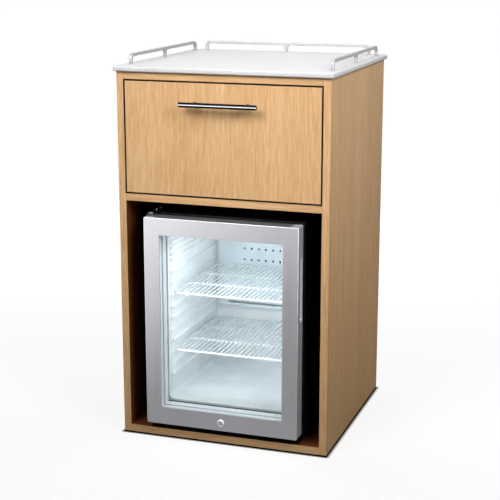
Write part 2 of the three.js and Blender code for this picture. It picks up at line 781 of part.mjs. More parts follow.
// Heat sink section: a base plate with fins on one face, u across and v out from the seat
function finnedSection(finDepth) {
  const half = SINK_WIDTH / 2;
  const pitch = (SINK_WIDTH - SINK_FIN) / (SINK_FINS - 1);
  const outline = [[-half, 0], [half, 0]];
  for (let fin = SINK_FINS - 1; fin >= 0; fin -= 1) {
    const left = fin * pitch - half;
    outline.push(
      [left + SINK_FIN, SINK_BASE],
      [left + SINK_FIN, SINK_BASE + finDepth],
      [left, SINK_BASE + finDepth],
      [left, SINK_BASE],
    );
  }
  return outline.filter(([u, v]) => Math.abs(u) < half || v !== SINK_BASE);
}

function heatSink(finDepth, seat, direction) {
  const outline = polygon(finnedSection(finDepth).map(([u, v]) => [u, seat + direction * v]));
  return alongZ(outline, about(SINK_HEIGHT / 2, sinkCentre));
}

function sinks() {
  const neck = neckBlock(NECK_SIZE / 2, [roomDepth - SINK_BASE / 2, CASE_DEPTH]);
  const cold = join(heatSink(COLD_FIN_DEPTH, roomDepth - SEAT, -1), neck);
  const hot = heatSink(HOT_FIN_DEPTH, CASE_DEPTH + SEAT, 1);
  return [piece('cold_sink', cold, aluminium), piece('hot_sink', hot, aluminium)];
}

function interiorLamp() {
  const half = LAMP_WIDTH / 2;
  const top = roomCeiling - SEAT;
  const bottom = top - LAMP_HEIGHT;
  const outline = polygon([
    [LAMP_CHAMFER - half, bottom],
    [half - LAMP_CHAMFER, bottom],
    [half, bottom + LAMP_CHAMFER],
    [half, top],
    [-half, top],
    [-half, bottom + LAMP_CHAMFER],
  ]);
  return alongY(outline, [LAMP_SETBACK, LAMP_SETBACK + LAMP_DEPTH]);
}

// Door hinges on the left: plates screwed to the case, with pins into the door
const doorBack = -SEAL_GAP;
const doorBottom = caseBottom + DOOR_RISE;
const doorTop = doorBottom + DOOR_HEIGHT;
const hingeX = HINGE_INSET - caseHalf;
const hingeY = doorBack - HINGE_FROM_BACK;
const upperPlate = caseTop + SEAT;
const lowerPlate = caseBottom - SEAT - HINGE_PLATE;

function hingePlate(bottom) {
  const half = HINGE_PLATE_WIDTH / 2;
  const outline = new THREE.Shape();
  outline.moveTo(half, HINGE_PLATE_REACH - hingeY);
  outline.lineTo(-half, HINGE_PLATE_REACH - hingeY);
  outline.absarc(0, 0, half, Math.PI, 2 * Math.PI);
  outline.closePath();
  const plate = alongZ(outline, [bottom, bottom + HINGE_PLATE]);
  const hole = rodZ(HINGE_PIN + 2 * SEAT, [bottom - HINGE_PLATE, bottom + 2 * HINGE_PLATE], SMALL_ROUND);
  return cut(plate, hole);
}

function upperPin() {
  const plateTop = upperPlate + HINGE_PLATE + SEAT;
  return turnedZ([
    [0, doorTop - HINGE_PIN_REACH],
    [HINGE_PIN / 2, doorTop - HINGE_PIN_REACH],
    [HINGE_PIN / 2, plateTop],
    [HINGE_HEAD / 2, plateTop],
    [HINGE_HEAD / 2, plateTop + HINGE_HEAD_HEIGHT],
    [0, plateTop + HINGE_HEAD_HEIGHT],
  ], SMALL_ROUND);
}

function lowerPin() {
  const plateTop = lowerPlate + HINGE_PLATE + SEAT;
  return turnedZ([
    [0, lowerPlate],
    [HINGE_PIN / 2, lowerPlate],
    [HINGE_PIN / 2, plateTop],
    [HINGE_HEAD / 2, plateTop],
    [HINGE_HEAD / 2, doorBottom - PIN_GAP],
    [HINGE_PIN / 2, doorBottom - PIN_GAP],
    [HINGE_PIN / 2, doorBottom + HINGE_PIN_REACH],
    [0, doorBottom + HINGE_PIN_REACH],
  ], SMALL_ROUND);
}

function hinges() {
  return assembly([hingeX, hingeY, 0],
    piece('upper_hinge_plate', hingePlate(upperPlate), blackPaint),
    piece('upper_hinge_pin', upperPin(), zincSteel),
    piece('lower_hinge_plate', hingePlate(lowerPlate), blackPaint),
    piece('lower_hinge_pin', lowerPin(), zincSteel),
  );
}

// Keeper: an upward channel on the case front that the lock's cam drops into
function keeper() {
  const lockZ = doorBottom + LOCK_RISE;
  const floor = lockZ - CAM_LENGTH - KEEPER_TIP_GAP - KEEPER_SHEET;
  const top = floor + KEEPER_SHEET + KEEPER_TIP_GAP + KEEPER_LIP;
  const lip = doorBack + KEEPER_DOOR_GAP;
  const outline = polygon([
    [lip, floor],
    [-SEAT, floor],
    [-SEAT, top],
    [-SEAT - KEEPER_SHEET, top],
    [-SEAT - KEEPER_SHEET, floor + KEEPER_SHEET],
    [lip + KEEPER_SHEET, floor + KEEPER_SHEET],
    [lip + KEEPER_SHEET, top],
    [lip, top],
  ]);
  return alongX(outline, about(KEEPER_WIDTH / 2));
}

function refrigerator() {
  const runnerX = caseHalf - RUNNER_INSET - RUNNER_WIDTH / 2;
  return assembly([0, caseFront, bayFloor],
    piece('case_wrap', caseWrap(), blackPaint),
    ...casePanels(),
    piece('liner', liner(), whitePlastic),
    piece('left_runner', runner(), blackRubber, [-runnerX, 0, SEAT]),
    piece('right_runner', runner(), blackRubber, [runnerX, 0, SEAT]),
    piece('left_shelf_guide', shelfGuide(-1), whitePlastic),
    piece('right_shelf_guide', shelfGuide(1), whitePlastic),
    ...shelves(),
    piece('air_cover', airCover(), whitePlastic),
    ...sinks(),
    piece('interior_lamp', interiorLamp(), lampLens),
    hinges(),
    piece('lock_keeper', keeper(), zincSteel),
    door(),
  );
}

// Door: x = 0 on its centre line, y = 0 on its back and z = 0 at its bottom
const doorFront = -DOOR_THICKNESS;
const skinBack = doorFront + DOOR_SHEET;
const windowHalf = caseHalf - FRAME_SIDE;
const windowSpan = [FRAME_BOTTOM, DOOR_HEIGHT - FRAME_TOP];
const grown = ([low, high], amount) => [low - amount, high + amount];
const paneStart = skinBack + SEAT;
const innerPaneStart = paneStart + GLASS + GLAZING_GAP + 2 * SEAT;
const innerPaneEnd = innerPaneStart + GLASS;
const coreHalf = caseHalf - DOOR_SHEET - SEAT;
const coreSpan = grown([0, DOOR_HEIGHT], -DOOR_SHEET - SEAT);

function hingeBores() {
  const bore = HINGE_PIN + 2 * PIN_GAP;
  const reach = HINGE_PIN_REACH + PIN_GAP;
  const spans = [[-DOOR_SHEET, reach], [DOOR_HEIGHT - reach, DOOR_HEIGHT + DOOR_SHEET]];
  return spans.map((span) => rodZ(bore, span, SMALL_ROUND).translate(hingeX, -HINGE_FROM_BACK, 0));
}

const lockBore = () =>
  rodY(LOCK_BARREL + 2 * PIN_GAP, [doorFront - DOOR_SHEET, DOOR_SHEET], ROUND).translate(0, 0, LOCK_RISE);

// The grip insert's outline, grown by the given amount, pushed through the door's right edge
function gripPocket(grow, [x0, x1]) {
  const across = about(GRIP_WIDTH / 2 + grow, -GRIP_FROM_BACK);
  const upward = about(GRIP_LENGTH / 2 + grow, GRIP_RISE);
  return alongX(roundedRectangle(across, upward, GRIP_CORNER + grow), [x0, x1]);
}

// Stainless skin: a shallow pan with the window cut in its face
function doorSkin() {
  const outline = roundedRectangle(about(caseHalf), [0, DOOR_HEIGHT], DOOR_CORNER);
  const pan = alongY(outline, [doorFront, DOOR_SHEET], DOOR_EDGE);
  const hollow = block(
    about(caseHalf - DOOR_SHEET),
    [skinBack, DOOR_THICKNESS],
    grown([0, DOOR_HEIGHT], -DOOR_SHEET),
  );
  const returnEnd = doorFront + DOOR_RETURN;
  const behind = block(about(FRIDGE_WIDTH), [returnEnd, DOOR_THICKNESS], grown([0, DOOR_HEIGHT], DOOR_SHEET));
  const opening = block(about(windowHalf), [2 * doorFront, 0], windowSpan);
  const grip = gripPocket(SEAT, [coreHalf - SEAT, FRIDGE_WIDTH]);
  return cut(pan, hollow, behind, opening, grip, lockBore(), ...hingeBores());
}

// Moulded core behind the skin: it holds the glass unit from behind and carries the seal
function doorCore() {
  const body = block(about(coreHalf), [paneStart, 0], coreSpan);
  const paneFit = GLASS_LAP + GLASS_FIT;
  const rebateSpan = [doorFront, innerPaneEnd + SEAT];
  const rebate = block(about(windowHalf + paneFit), rebateSpan, grown(windowSpan, paneFit));
  const held = GLASS_LAP - CORE_LAP;
  const opening = block(about(windowHalf + held), [doorFront, DOOR_SHEET], grown(windowSpan, held));
  const grip = gripPocket(SEAT, [caseHalf - GRIP_DEPTH - SEAT, FRIDGE_WIDTH]);
  return cut(body, rebate, opening, grip, lockBore(), ...hingeBores());
}

function pane(start) {
  return block(about(windowHalf + GLASS_LAP), [start, start + GLASS], grown(windowSpan, GLASS_LAP));
}

function rectangle([u0, u1], [v0, v1]) {
  return polygon([[u0, v0], [u1, v0], [u1, v1], [u0, v1]]);
}

function glazingSpacer() {
  const outline = rectangle(about(windowHalf + GLASS_LAP), grown(windowSpan, GLASS_LAP));
  outline.holes.push(rectangle(about(windowHalf), windowSpan));
  const start = paneStart + GLASS + SEAT;
  return alongY(outline, [start, start + GLAZING_GAP]);
}

function doorSeal() {
  const half = caseHalf - SEAL_SIDE;
  const span = [SEAL_BOTTOM, DOOR_HEIGHT - SEAL_TOP];
  const outline = rectangle(about(half), span);
  outline.holes.push(rectangle(about(half - SEAL_WIDTH), grown(span, -SEAL_WIDTH)));
  return alongY(outline, [SEAT, SEAL_GAP - PIN_GAP]);
}

function edgeGrip() {
  const cup = gripPocket(0, [caseHalf - GRIP_DEPTH, caseHalf]);
  return cut(cup, gripPocket(-GRIP_SHEET, [caseHalf - GRIP_DEPTH + GRIP_SHEET, FRIDGE_WIDTH]));
}

// Lock, about its own axis: a fixed body with a rose, a plug that turns in it, and a cam behind the door
function lockBody() {
  const bore = LOCK_PLUG / 2 + PIN_GAP;
  const rose = doorFront - LOCK_ROSE_PROUD;
  return turnedY([
    [bore, -DOOR_SHEET],
    [bore, rose],
    [LOCK_ROSE / 2 - LOCK_ROSE_CHAMFER, rose],
    [LOCK_ROSE / 2, rose + LOCK_ROSE_CHAMFER],
    [LOCK_ROSE / 2, doorFront - SEAT],
    [LOCK_BARREL / 2, doorFront - SEAT],
    [LOCK_BARREL / 2, -DOOR_SHEET],
    [bore, -DOOR_SHEET],
  ], ROUND);
}

function lockPlug() {
  const face = doorFront - LOCK_ROSE_PROUD;
  const plug = rodY(LOCK_PLUG, [face, CAM_FROM_DOOR - SEAT], SMALL_ROUND);
  const keyway = block(
    about(LOCK_KEYWAY / 2),
    [face - LOCK_KEYWAY_DEPTH, face + LOCK_KEYWAY_DEPTH],
    about(LOCK_KEYWAY_HEIGHT / 2),
  );
  return cut(plug, keyway);
}

function lockCam() {
  const hub = CAM_HUB / 2;
  const arm = CAM_WIDTH / 2;
  const start = Math.asin(arm / hub);
  const outline = new THREE.Shape();
  outline.absarc(0, 0, hub, start, 2 * Math.PI - start);
  outline.absarc(CAM_LENGTH - arm, 0, arm, -Math.PI / 2, Math.PI / 2);
  outline.closePath();
  return alongY(outline, [CAM_FROM_DOOR, CAM_FROM_DOOR + CAM_SHEET]);
}

function door() {
  const lock = assembly([0, 0, LOCK_RISE],
    piece('lock_body', lockBody(), zincSteel),
    piece('lock_plug', lockPlug(), zincSteel),
    piece('lock_cam', lockCam(), zincSteel),
  );
  return assembly([0, doorBack, doorBottom],
    piece('door_frame', doorSkin(), satinSteel),
    piece('door_core', doorCore(), whitePlastic),
    piece('outer_pane', pane(paneStart), clearGlass),
    piece('glazing_spacer', glazingSpacer(), aluminium),
    piece('inner_pane', pane(innerPaneStart), clearGlass),
    piece('door_seal', doorSeal(), blackRubber),
    piece('edge_grip', edgeGrip(), greyPlastic),
    lock,
  );
}

const cabinet = assembly([0, (frontReach - backReach) / 2, 0],
  carcass(),
  worktop(),
  slides(),
  drawer(),
  refrigerator(),
);

export default cabinet;
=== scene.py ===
import json
import math
from functools import cache, partial, partialmethod

import bmesh
import bpy
from bpy.props import FloatProperty, FloatVectorProperty, IntProperty, PointerProperty
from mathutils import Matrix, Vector

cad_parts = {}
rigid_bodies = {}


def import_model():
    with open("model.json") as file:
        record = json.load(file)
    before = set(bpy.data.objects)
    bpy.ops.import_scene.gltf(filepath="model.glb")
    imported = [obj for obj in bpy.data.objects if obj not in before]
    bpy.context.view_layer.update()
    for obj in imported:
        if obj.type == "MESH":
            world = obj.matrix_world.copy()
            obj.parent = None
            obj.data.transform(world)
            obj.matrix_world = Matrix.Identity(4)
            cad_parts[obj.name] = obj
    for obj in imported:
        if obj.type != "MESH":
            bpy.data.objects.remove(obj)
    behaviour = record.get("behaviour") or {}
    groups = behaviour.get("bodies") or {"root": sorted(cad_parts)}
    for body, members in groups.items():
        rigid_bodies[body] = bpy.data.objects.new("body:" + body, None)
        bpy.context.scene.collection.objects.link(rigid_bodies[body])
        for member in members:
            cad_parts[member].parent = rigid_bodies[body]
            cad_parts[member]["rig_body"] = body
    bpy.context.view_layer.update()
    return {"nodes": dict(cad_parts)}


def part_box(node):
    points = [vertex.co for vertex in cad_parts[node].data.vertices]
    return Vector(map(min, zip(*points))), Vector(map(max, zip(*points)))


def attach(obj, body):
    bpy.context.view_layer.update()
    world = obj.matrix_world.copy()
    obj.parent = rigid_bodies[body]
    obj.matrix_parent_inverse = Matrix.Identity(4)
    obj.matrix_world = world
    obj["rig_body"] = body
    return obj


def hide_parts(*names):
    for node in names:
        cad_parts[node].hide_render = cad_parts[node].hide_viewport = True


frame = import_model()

# Hotel minibar cabinet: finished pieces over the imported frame, with a stage and a camera.
# Metres, +Z up, front to -Y. A finished piece's object stays at the origin, its place is in its mesh.

bl_info = {
    "name": "Minibar Cabinet",
    "version": (1, 0, 0),
    "blender": (4, 5, 0),
    "location": "View3D > Sidebar > Minibar",
    "description": "Finished pieces, materials and a stage for a hotel minibar cabinet",
    "category": "Object",
}

WELD = 2e-6  # distance below which a CAD node's points are one
FLAT = math.radians(0.5)  # angle below which its triangles lie in one face
SHARP = 35  # degrees from which an edge is hard
OVERCUT = 0.01  # how far a cutter reaches past what it cuts
CLEARANCE = 0.0001  # between pieces that bear on each other
HEAD_RISE = 0.34  # height of a screw's head over its diameter
QUARTER = math.pi / 2
X, Y, Z = range(3)


def seen_as(red, green, blue):
    """The linear colour of an 8-bit screen colour."""
    return tuple(
        v / 255 / 12.92 if v <= 10 else ((v / 255 + 0.055) / 1.055) ** 2.4
        for v in (red, green, blue)
    )


def length(name, description, default):
    return FloatProperty(name=name, description=description, default=default, min=0, unit="LENGTH")


def power(name, description, default):
    return FloatProperty(name=name, description=description, default=default, unit="POWER")


def tone(name, description, default):
    return FloatVectorProperty(
        name=name, description=description, default=seen_as(*default), min=0, max=1, subtype="COLOR"
    )


class MinibarSizes(bpy.types.PropertyGroup):
    """Sizes of the details that the frame leaves plain"""

    board_edge: length("Board edge", "Radius on the oak boards' edges", 0.0008)
    slab_edge: length("Worktop edge", "Radius on the worktop's long edges", 0.003)
    rail_edge: length("Rail edge", "Radius on the gallery rails' edges", 0.0014)
    sheet_edge: length("Sheet edge", "Radius on folded sheet metal", 0.0004)
    moulded_edge: length("Moulded edge", "Radius on moulded plastic", 0.0008)
    frame_wire: length("Shelf frame wire", "Diameter of a shelf's frame", 0.005)
    fine_wire: length("Shelf fine wire", "Diameter of a shelf's fine wires", 0.003)
    wire_pitch: length("Shelf wire pitch", "Distance between a shelf's fine wires", 0.012)
    shelf_corner: length("Shelf corner", "Radius of a shelf's bent corners", 0.014)
    cover_hole: length("Air hole", "Diameter of the air cover's holes", 0.006)
    screw_head: length("Screw head", "Diameter of a pan-head screw", 0.0072)
    round_steps: IntProperty(
        name="Round steps", description="Facets round a turned piece", default=48, min=8
    )


class MinibarColours(bpy.types.PropertyGroup):
    """Colours of the finishes, as they look under plain white light"""

    oak_light: tone("Oak, light", "Early wood of the oak veneer", (247, 205, 154))
    oak_dark: tone("Oak, dark", "Late wood of the oak veneer", (220, 171, 118))
    birch_light: tone("Birch, light", "Light grain of the drawer box", (232, 209, 172))
    birch_dark: tone("Birch, dark", "Dark grain of the drawer box", (205, 174, 130))
    hardboard: tone("Hardboard", "Rear board", (138, 103, 70))
    slab: tone("Worktop", "White solid surface", (226, 227, 229))
    steel: tone("Satin steel", "Door frame", (208, 207, 212))
    grip: tone("Grip", "Pale satin of the door's finger grip", (250, 250, 252))
    rail: tone("Satin rail", "Side gallery rails", (178, 178, 181))
    rear_rail: tone("Rear rail", "Satin steel of the rear rail", (197, 198, 201))
    zinc: tone("Zinc", "Plated slides, hinge pins and screws", (176, 180, 184))
    chrome: tone("Dark chrome", "Drawer handle", (22, 23, 28))
    lock: tone("Satin nickel", "Key lock", (236, 237, 240))
    aluminium: tone("Aluminium", "Rear heat sink", (198, 203, 208))
    cold_sink: tone("Dark aluminium", "Heat sink behind the air cover", (84, 92, 99))
    spacer: tone("Anodised aluminium", "Glazing spacer", (232, 238, 244))
    paint: tone("Black paint", "Refrigerator case and hinge plates", (20, 20, 23))
    rubber: tone("Black rubber", "Door seal and runners", (27, 27, 29))
    plastic: tone("Black plastic", "Glides", (32, 32, 34))
    liner: tone("Liner", "Inside of the refrigerator", (230, 237, 240))
    cover: tone("Air cover", "Perforated cover on the rear wall", (205, 219, 226))
    coat: tone("Wire coat", "Coated shelf wires", (214, 223, 228))
    foam: tone("Foam", "Insulation", (222, 206, 158))
    glass: tone("Glass", "Clear panes", (253, 254, 254))
    floor: tone("Floor", "Studio floor", (124, 124, 124))
    # painted shade: this dark colour fills the drawer gap and deepens the bay towards its back
    gap: tone("Edge band", "Dark band round the drawer front's edges", (30, 22, 16))
    # painted shade: the bay's inside turns from this brown towards the gap colour deeper in
    bay: tone("Bay stain", "Dark stain at the mouth of the open bay", (126, 73, 38))


class MinibarStage(bpy.types.PropertyGroup):
    """Camera and lights"""

    camera_place: FloatVectorProperty(
        name="Camera place", description="Where the camera stands",
        default=(0.998, -2.973, 1.184), subtype="TRANSLATION", unit="LENGTH",
    )
    camera_turn: FloatVectorProperty(
        name="Camera turn", description="Tilt, roll and turn of the camera",
        default=(math.radians(76.46), 0.0, math.radians(18.79)), subtype="EULER",
    )
    camera_lens: FloatProperty(
        name="Lens", description="Focal length in millimetres on a 36 mm sensor", default=91.73
    )
    key_power: power("Key", "Power of the softbox at the upper left", 3.95)
    side_power: power("Side", "Power of the softbox at the upper right", 5.9)
    top_power: power("Top", "Power of the softbox overhead", 8.6)
    rear_power: power("Rear", "Power of the softbox behind the cabinet", 22)
    inside_power: power("Inside", "Power of the fill behind the glass", 0.48)
    lamp_power: power("Lamp", "Power of the light below the interior lamp", 0.34)
    ambient: FloatProperty(name="Ambient", description="Light from all round", default=0.03, min=0)
    lamp_glow: FloatProperty(
        name="Lamp glow", description="Brightness of the refrigerator's lamp", default=9.0, min=0
    )


def sizes():
    return bpy.context.scene.minibar_sizes


def colour(name):
    """A finish's colour from the panel, with full alpha."""
    return (*getattr(bpy.context.scene.minibar_colours, name), 1.0)


def dimmed(base, factor):
    """A colour made darker, or lighter by a factor above 1."""
    return (*(min(1, v * factor) for v in base[:3]), 1)


def extent(node):
    """The centre and the half size of a CAD node's box."""
    low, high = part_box(node)
    return (low + high) / 2, (high - low) / 2


# Nodes


def fill(tree, node, inputs):
    """Sets a node's inputs to constants, or links them from Values, by socket name or number."""
    for key, value in inputs.items():
        if isinstance(value, Value):
            tree.links.new(value.socket, node.inputs[key])
        else:
            node.inputs[key].default_value = value


def put(tree, kind, inputs=None, **settings):
    node = tree.nodes.new(kind)
    for key, value in settings.items():
        setattr(node, key, value)
    fill(tree, node, inputs or {})
    return node


def output(tree, kind, inputs=None, key=0, **settings):
    """One output of a new node."""
    return Value(tree, put(tree, kind, inputs, **settings).outputs[key])


def outputs(tree, node):
    return {socket.name: Value(tree, socket) for socket in node.outputs}


class Value:
    """A node's output, which arithmetic, comparisons and methods carry into further nodes."""

    def __init__(self, tree, socket):
        self.tree = tree
        self.socket = socket

    def into(self, kind, inputs=None, key=0, **settings):
        """An output of a new node that has this value as its first input."""
        return output(self.tree, kind, {0: self, **(inputs or {})}, key, **settings)

    def maths(self, operation, other=0.0):
        return self.into("ShaderNodeMath", {1: other}, operation=operation)

    __add__ = partialmethod(maths, "ADD")
    __sub__ = partialmethod(maths, "SUBTRACT")
    __mul__ = partialmethod(maths, "MULTIPLY")
    __truediv__ = partialmethod(maths, "DIVIDE")
    __lt__ = partialmethod(maths, "LESS_THAN")
    __gt__ = partialmethod(maths, "GREATER_THAN")
    __abs__ = partialmethod(maths, "ABSOLUTE")
    peak = partialmethod(maths, "MAXIMUM")

    def ranged(self, start, end, low=0.0, high=1.0):
        """The value brought from the range start to end into the range low to high."""
        return self.into("ShaderNodeMapRange", {1: start, 2: end, 3: low, 4: high})

    def mixed(self, a, b, blend="MIX"):
        """Colour a where the value is 0 and b where it is 1."""
        return self.into("ShaderNodeMix", {6: a, 7: b}, 2, data_type="RGBA", blend_type=blend)

    def relief(self, strength, distance):
        inputs = {"Strength": strength, "Distance": distance, "Height": self}
        return output(self.tree, "ShaderNodeBump", inputs)

    def vectors(self, operation, other=(0, 0, 0), key=0):
        return self.into("ShaderNodeVectorMath", {1: other}, key, operation=operation)

    def scaled(self, *factors):
        return self.vectors("MULTIPLY", factors)

    def apart(self, centre):
        """Distances from a centre along the three axes."""
        return self.vectors("SUBTRACT", centre).vectors("ABSOLUTE")

    def length(self):
        return self.vectors("LENGTH", key="Value")

    def split(self):
        return outputs(self.tree, put(self.tree, "ShaderNodeSeparateXYZ", {0: self})).values()

    def aligned(self, turn, shift=(0, 0, 0)):
        """The place turned and shifted for a pattern that runs another way."""
        inputs = {"Vector": self, "Location": shift, "Rotation": turn}
        return output(self.tree, "ShaderNodeMapping", inputs)

    def noise(self, scale=1.0, detail=2.0, roughness=0.5):
        inputs = {"Vector": self, "Scale": scale, "Detail": detail, "Roughness": roughness}
        return output(self.tree, "ShaderNodeTexNoise", inputs)


def vector(tree, x=0.0, y=0.0, z=0.0):
    return output(tree, "ShaderNodeCombineXYZ", {0: x, 1: y, 2: z})


def light_rays(tree):
    return outputs(tree, put(tree, "ShaderNodeLightPath"))


def eased_mark(tree):
    """1 on the rounds that a piece's eased attribute marks."""
    return output(tree, "ShaderNodeAttribute", key="Fac", attribute_name="eased")


def group_tree(name, kind, inputs, results, build):
    """A node group of a function that turns its inputs, as Values by name, into its outputs."""
    tree = bpy.data.node_groups.new(name, kind)
    for way, sockets in (("INPUT", inputs), ("OUTPUT", results)):
        for label, socket in sockets.items():
            tree.interface.new_socket(label, in_out=way, socket_type=f"NodeSocket{socket}")
    given = outputs(tree, tree.nodes.new("NodeGroupInput"))
    fill(tree, tree.nodes.new("NodeGroupOutput"), build(given))
    return tree


# Effects shared by several finishes


def shared_effect(name, inputs, results):
    """Makes a shader group of a function of its inputs. The function then places the group."""

    def wrapped(build):
        @cache
        def group():
            sockets = {"Vector": "Vector", **inputs}
            return group_tree(
                name, "ShaderNodeTree", sockets, results, lambda given: build(*map(given.get, sockets))
            )

        def placed(place, **values):
            sockets = {"Vector": place, **{key.title(): value for key, value in values.items()}}
            return outputs(place.tree, put(place.tree, "ShaderNodeGroup", sockets, node_tree=group()))

        return placed

    return wrapped


@shared_effect(
    "Wood grain", {"Arch": "Float", "Light": "Color", "Dark": "Color"},
    {"Color": "Color", "Roughness": "Float", "Height": "Float"},
)
def wood_grain(along, arch, light, dark):
    """Wood grain along Z: straight or arched lines of growth, short flecks and dark pores."""
    sway = along.scaled(9, 9, 3).noise()
    swayed = sway.into(
        "ShaderNodeVectorMath", {1: (0.03, 0.03, 0), 2: along}, operation="MULTIPLY_ADD"
    )
    x, y, z = swayed.split()
    straight = x + y
    arched = vector(along.tree, x, z * 0.3).length()
    ring = straight + arch * (arched - straight)
    growth = vector(along.tree, ring * 120.0, 0.0, z).noise(1, 4, 0.65)
    fleck = swayed.scaled(260, 260, 15).noise(1, 3, 0.6)
    cast = along.scaled(8, 8, 0.9).noise(1, 1)
    pore = along.scaled(1500, 1500, 40).noise(1, 1).ranged(0.58, 0.7)
    shade = (growth * 0.3 + fleck * 0.5 + cast * 0.2).ranged(0.38, 0.62)
    sheen = fleck.ranged(0.3, 0.7, 0.4, 0.52)
    return {
        "Color": (pore * 0.16).mixed(shade.mixed(dark, light), dark, "MULTIPLY"),
        "Roughness": sheen + pore * 0.1,
        "Height": shade * 0.4 - pore,
    }


@shared_effect("Shadow gap", {}, {"Mask": "Float"})
def shadow_gap(place):
    """1 inside the narrow gap round the drawer front, where the edges are darkened with painted shade."""
    room, arris, skin = 0.0034, 0.0007, 0.0002
    centre, half = extent("drawer_front")
    x, y, z = place.apart(centre).split()
    inside = (x < half.x + room) * (z < half.z + room)
    edge = (x > half.x - arris).peak(z > half.z - arris) * (y < half.y + arris)
    return {"Mask": inside * edge.peak(y < half.y - skin)}


@shared_effect("Bay depth", {}, {"Mask": "Float", "Depth": "Float"})
def bay_depth(place):
    """Masks for painted shade: the bay's inside, and a depth from 0 at its mouth to 1 deep inside or below
    the door.
    """
    skin, fade, deep, door_half = 0.0002, 0.004, 0.12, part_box("door_frame")[1].x
    left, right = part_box("left_side_panel"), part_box("right_side_panel")
    mouth, floor = left[0].y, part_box("bottom_panel")[1].z
    low = Vector((left[1].x - skin, mouth, floor - skin))
    high = Vector((right[0].x + skin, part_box("back_panel")[0].y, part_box("divider_shelf")[0].z + skin))
    half = (high - low) / 2
    x, y, z = place.apart((low + high) / 2).split()
    inside = (x < half.x) * (y < half.y) * (z < half.z)
    _, back, up = place.split()
    # painted shadow on the bay's floor under the door, across the door's width
    under = x.ranged(door_half + fade, door_half - fade) * (up < low.z + 0.001)
    return {
        "Mask": inside * back.ranged(mouth + 0.0005, mouth + 0.002),
        "Depth": under.peak(back.ranged(mouth, mouth + deep)),
    }


@shared_effect("Brushing", {}, {"Streak": "Float", "Height": "Float"})
def brushing(place):
    """Fine parallel scratches along X."""
    coarse = place.scaled(3, 420, 420).noise(1, 3)
    fine = place.scaled(14, 2600, 2600).noise()
    return {"Streak": (coarse * 0.55 + fine * 0.45).ranged(0.32, 0.68), "Height": fine}


@shared_effect("Handling", {}, {"Smudge": "Float", "Dust": "Float"})
def handling(place):
    """Soft smudges left by hands and cloths, and a little dust."""
    return {
        "Smudge": place.noise(13, 3, 0.55).ranged(0.38, 0.66),
        "Dust": place.noise(520, 2, 0.7).ranged(0.56, 0.8),
    }


@shared_effect("Mould grain", {"Scale": "Float"}, {"Height": "Float", "Mottle": "Float"})
def mould_grain(place, scale):
    """The pebbled skin of moulded plastic, rubber and sprayed paint."""
    cloud = place.noise(scale * 0.02)
    return {"Height": place.noise(scale, 2, 0.45), "Mottle": cloud.ranged(0.35, 0.65)}


@shared_effect("Edge wear", {}, {"Mask": "Float"})
def edge_wear(place):
    """Patchy rubbing along a piece's eased edges."""
    patches = place.noise(60, 3).ranged(0.35, 0.65, 0.25, 1.0)
    return {"Mask": eased_mark(place.tree) * patches}


# Finishes


class Surface:
    """A material with its tree, its Principled shader and the piece's own coordinates."""

    def __init__(self, name):
        self.material = bpy.data.materials.new(name)
        self.material.use_nodes = True
        self.tree = self.material.node_tree
        self.tree.nodes.clear()
        self.shader = put(self.tree, "ShaderNodeBsdfPrincipled")
        self.shown = put(self.tree, "ShaderNodeOutputMaterial")
        self.show(Value(self.tree, self.shader.outputs[0]))
        self.place = output(self.tree, "ShaderNodeTexCoord", key="Object")
        self.fed = {}

    def show(self, shader):
        fill(self.tree, self.shown, {"Surface": shader})

    def feed(self, **inputs):
        """Sets or links the shader's sockets, which are named in lower case with underscores."""
        self.fed.update(inputs)
        labels = {key: key.replace("_", " ").title().replace("Ior", "IOR") for key in inputs}
        fill(self.tree, self.shader, {labels[key]: value for key, value in inputs.items()})
        return self


def wood(name, kind, turn, shift=(0, 0, 0), arch=0.0):
    """Veneer or board with its grain turned as given, with painted shade in the bay and round the drawer
    front.
    """
    board = Surface(name)
    place, light, dark = board.place, colour(f"{kind}_light"), colour(f"{kind}_dark")
    grain = wood_grain(place.aligned(turn, shift), arch=arch, light=light, dark=dark)
    rubbed = (edge_wear(place)["Mask"] * 0.4).mixed(grain["Color"], light)
    # painted shade: darker from the bay's mouth inwards and under the door, and dark in the drawer gap
    bay = bay_depth(place)
    shaded = bay["Mask"].mixed(rubbed, bay["Depth"].mixed(colour("bay"), colour("gap")))
    return board.feed(
        base_color=shadow_gap(place)["Mask"].mixed(shaded, colour("gap")), specular_ior_level=0.1,
        roughness=grain["Roughness"] - handling(place)["Smudge"] * 0.05,
        normal=grain["Height"].relief(0.25, 0.0004),
    )


def white_slab():
    slab = Surface("White solid surface")
    fleck = slab.place.noise(900, 2, 0.6).ranged(0.58, 0.72)
    skin = mould_grain(slab.place, scale=700.0)
    tint = (skin["Mottle"] * 0.03).mixed(colour("slab"), (0.75, 0.78, 0.82, 1))
    return slab.feed(
        base_color=(fleck * 0.06).mixed(tint, (0.6, 0.62, 0.66, 1)), specular_ior_level=0.2,
        subsurface_weight=0.7, subsurface_radius=(1, 1, 1), subsurface_scale=0.02,
        roughness=handling(slab.place)["Smudge"].ranged(0, 1, 0.42, 0.52),
        normal=skin["Height"].relief(0.04, 0.0002),
    )


def metal(name, kind, turn, rough, depth=0.12, shade=0.82, metallic=1.0):
    """Brushed metal: scratches along X turned as given, roughness between two values, and handling."""
    sheet = Surface(name)
    scratches = brushing(sheet.place.aligned(turn))
    streak, smudge = scratches["Streak"], handling(sheet.place)["Smudge"]
    base = colour(kind)
    dull = dimmed(base, shade)
    smudged = (smudge * 0.08).mixed(streak.mixed(dull, base), dull)
    return sheet.feed(
        base_color=(edge_wear(sheet.place)["Mask"] * 0.3).mixed(smudged, (0.9, 0.9, 0.92, 1)),
        metallic=metallic, roughness=streak.ranged(0, 1, *rough) + smudge * 0.05,
        normal=scratches["Height"].relief(depth, 0.0001),
    )


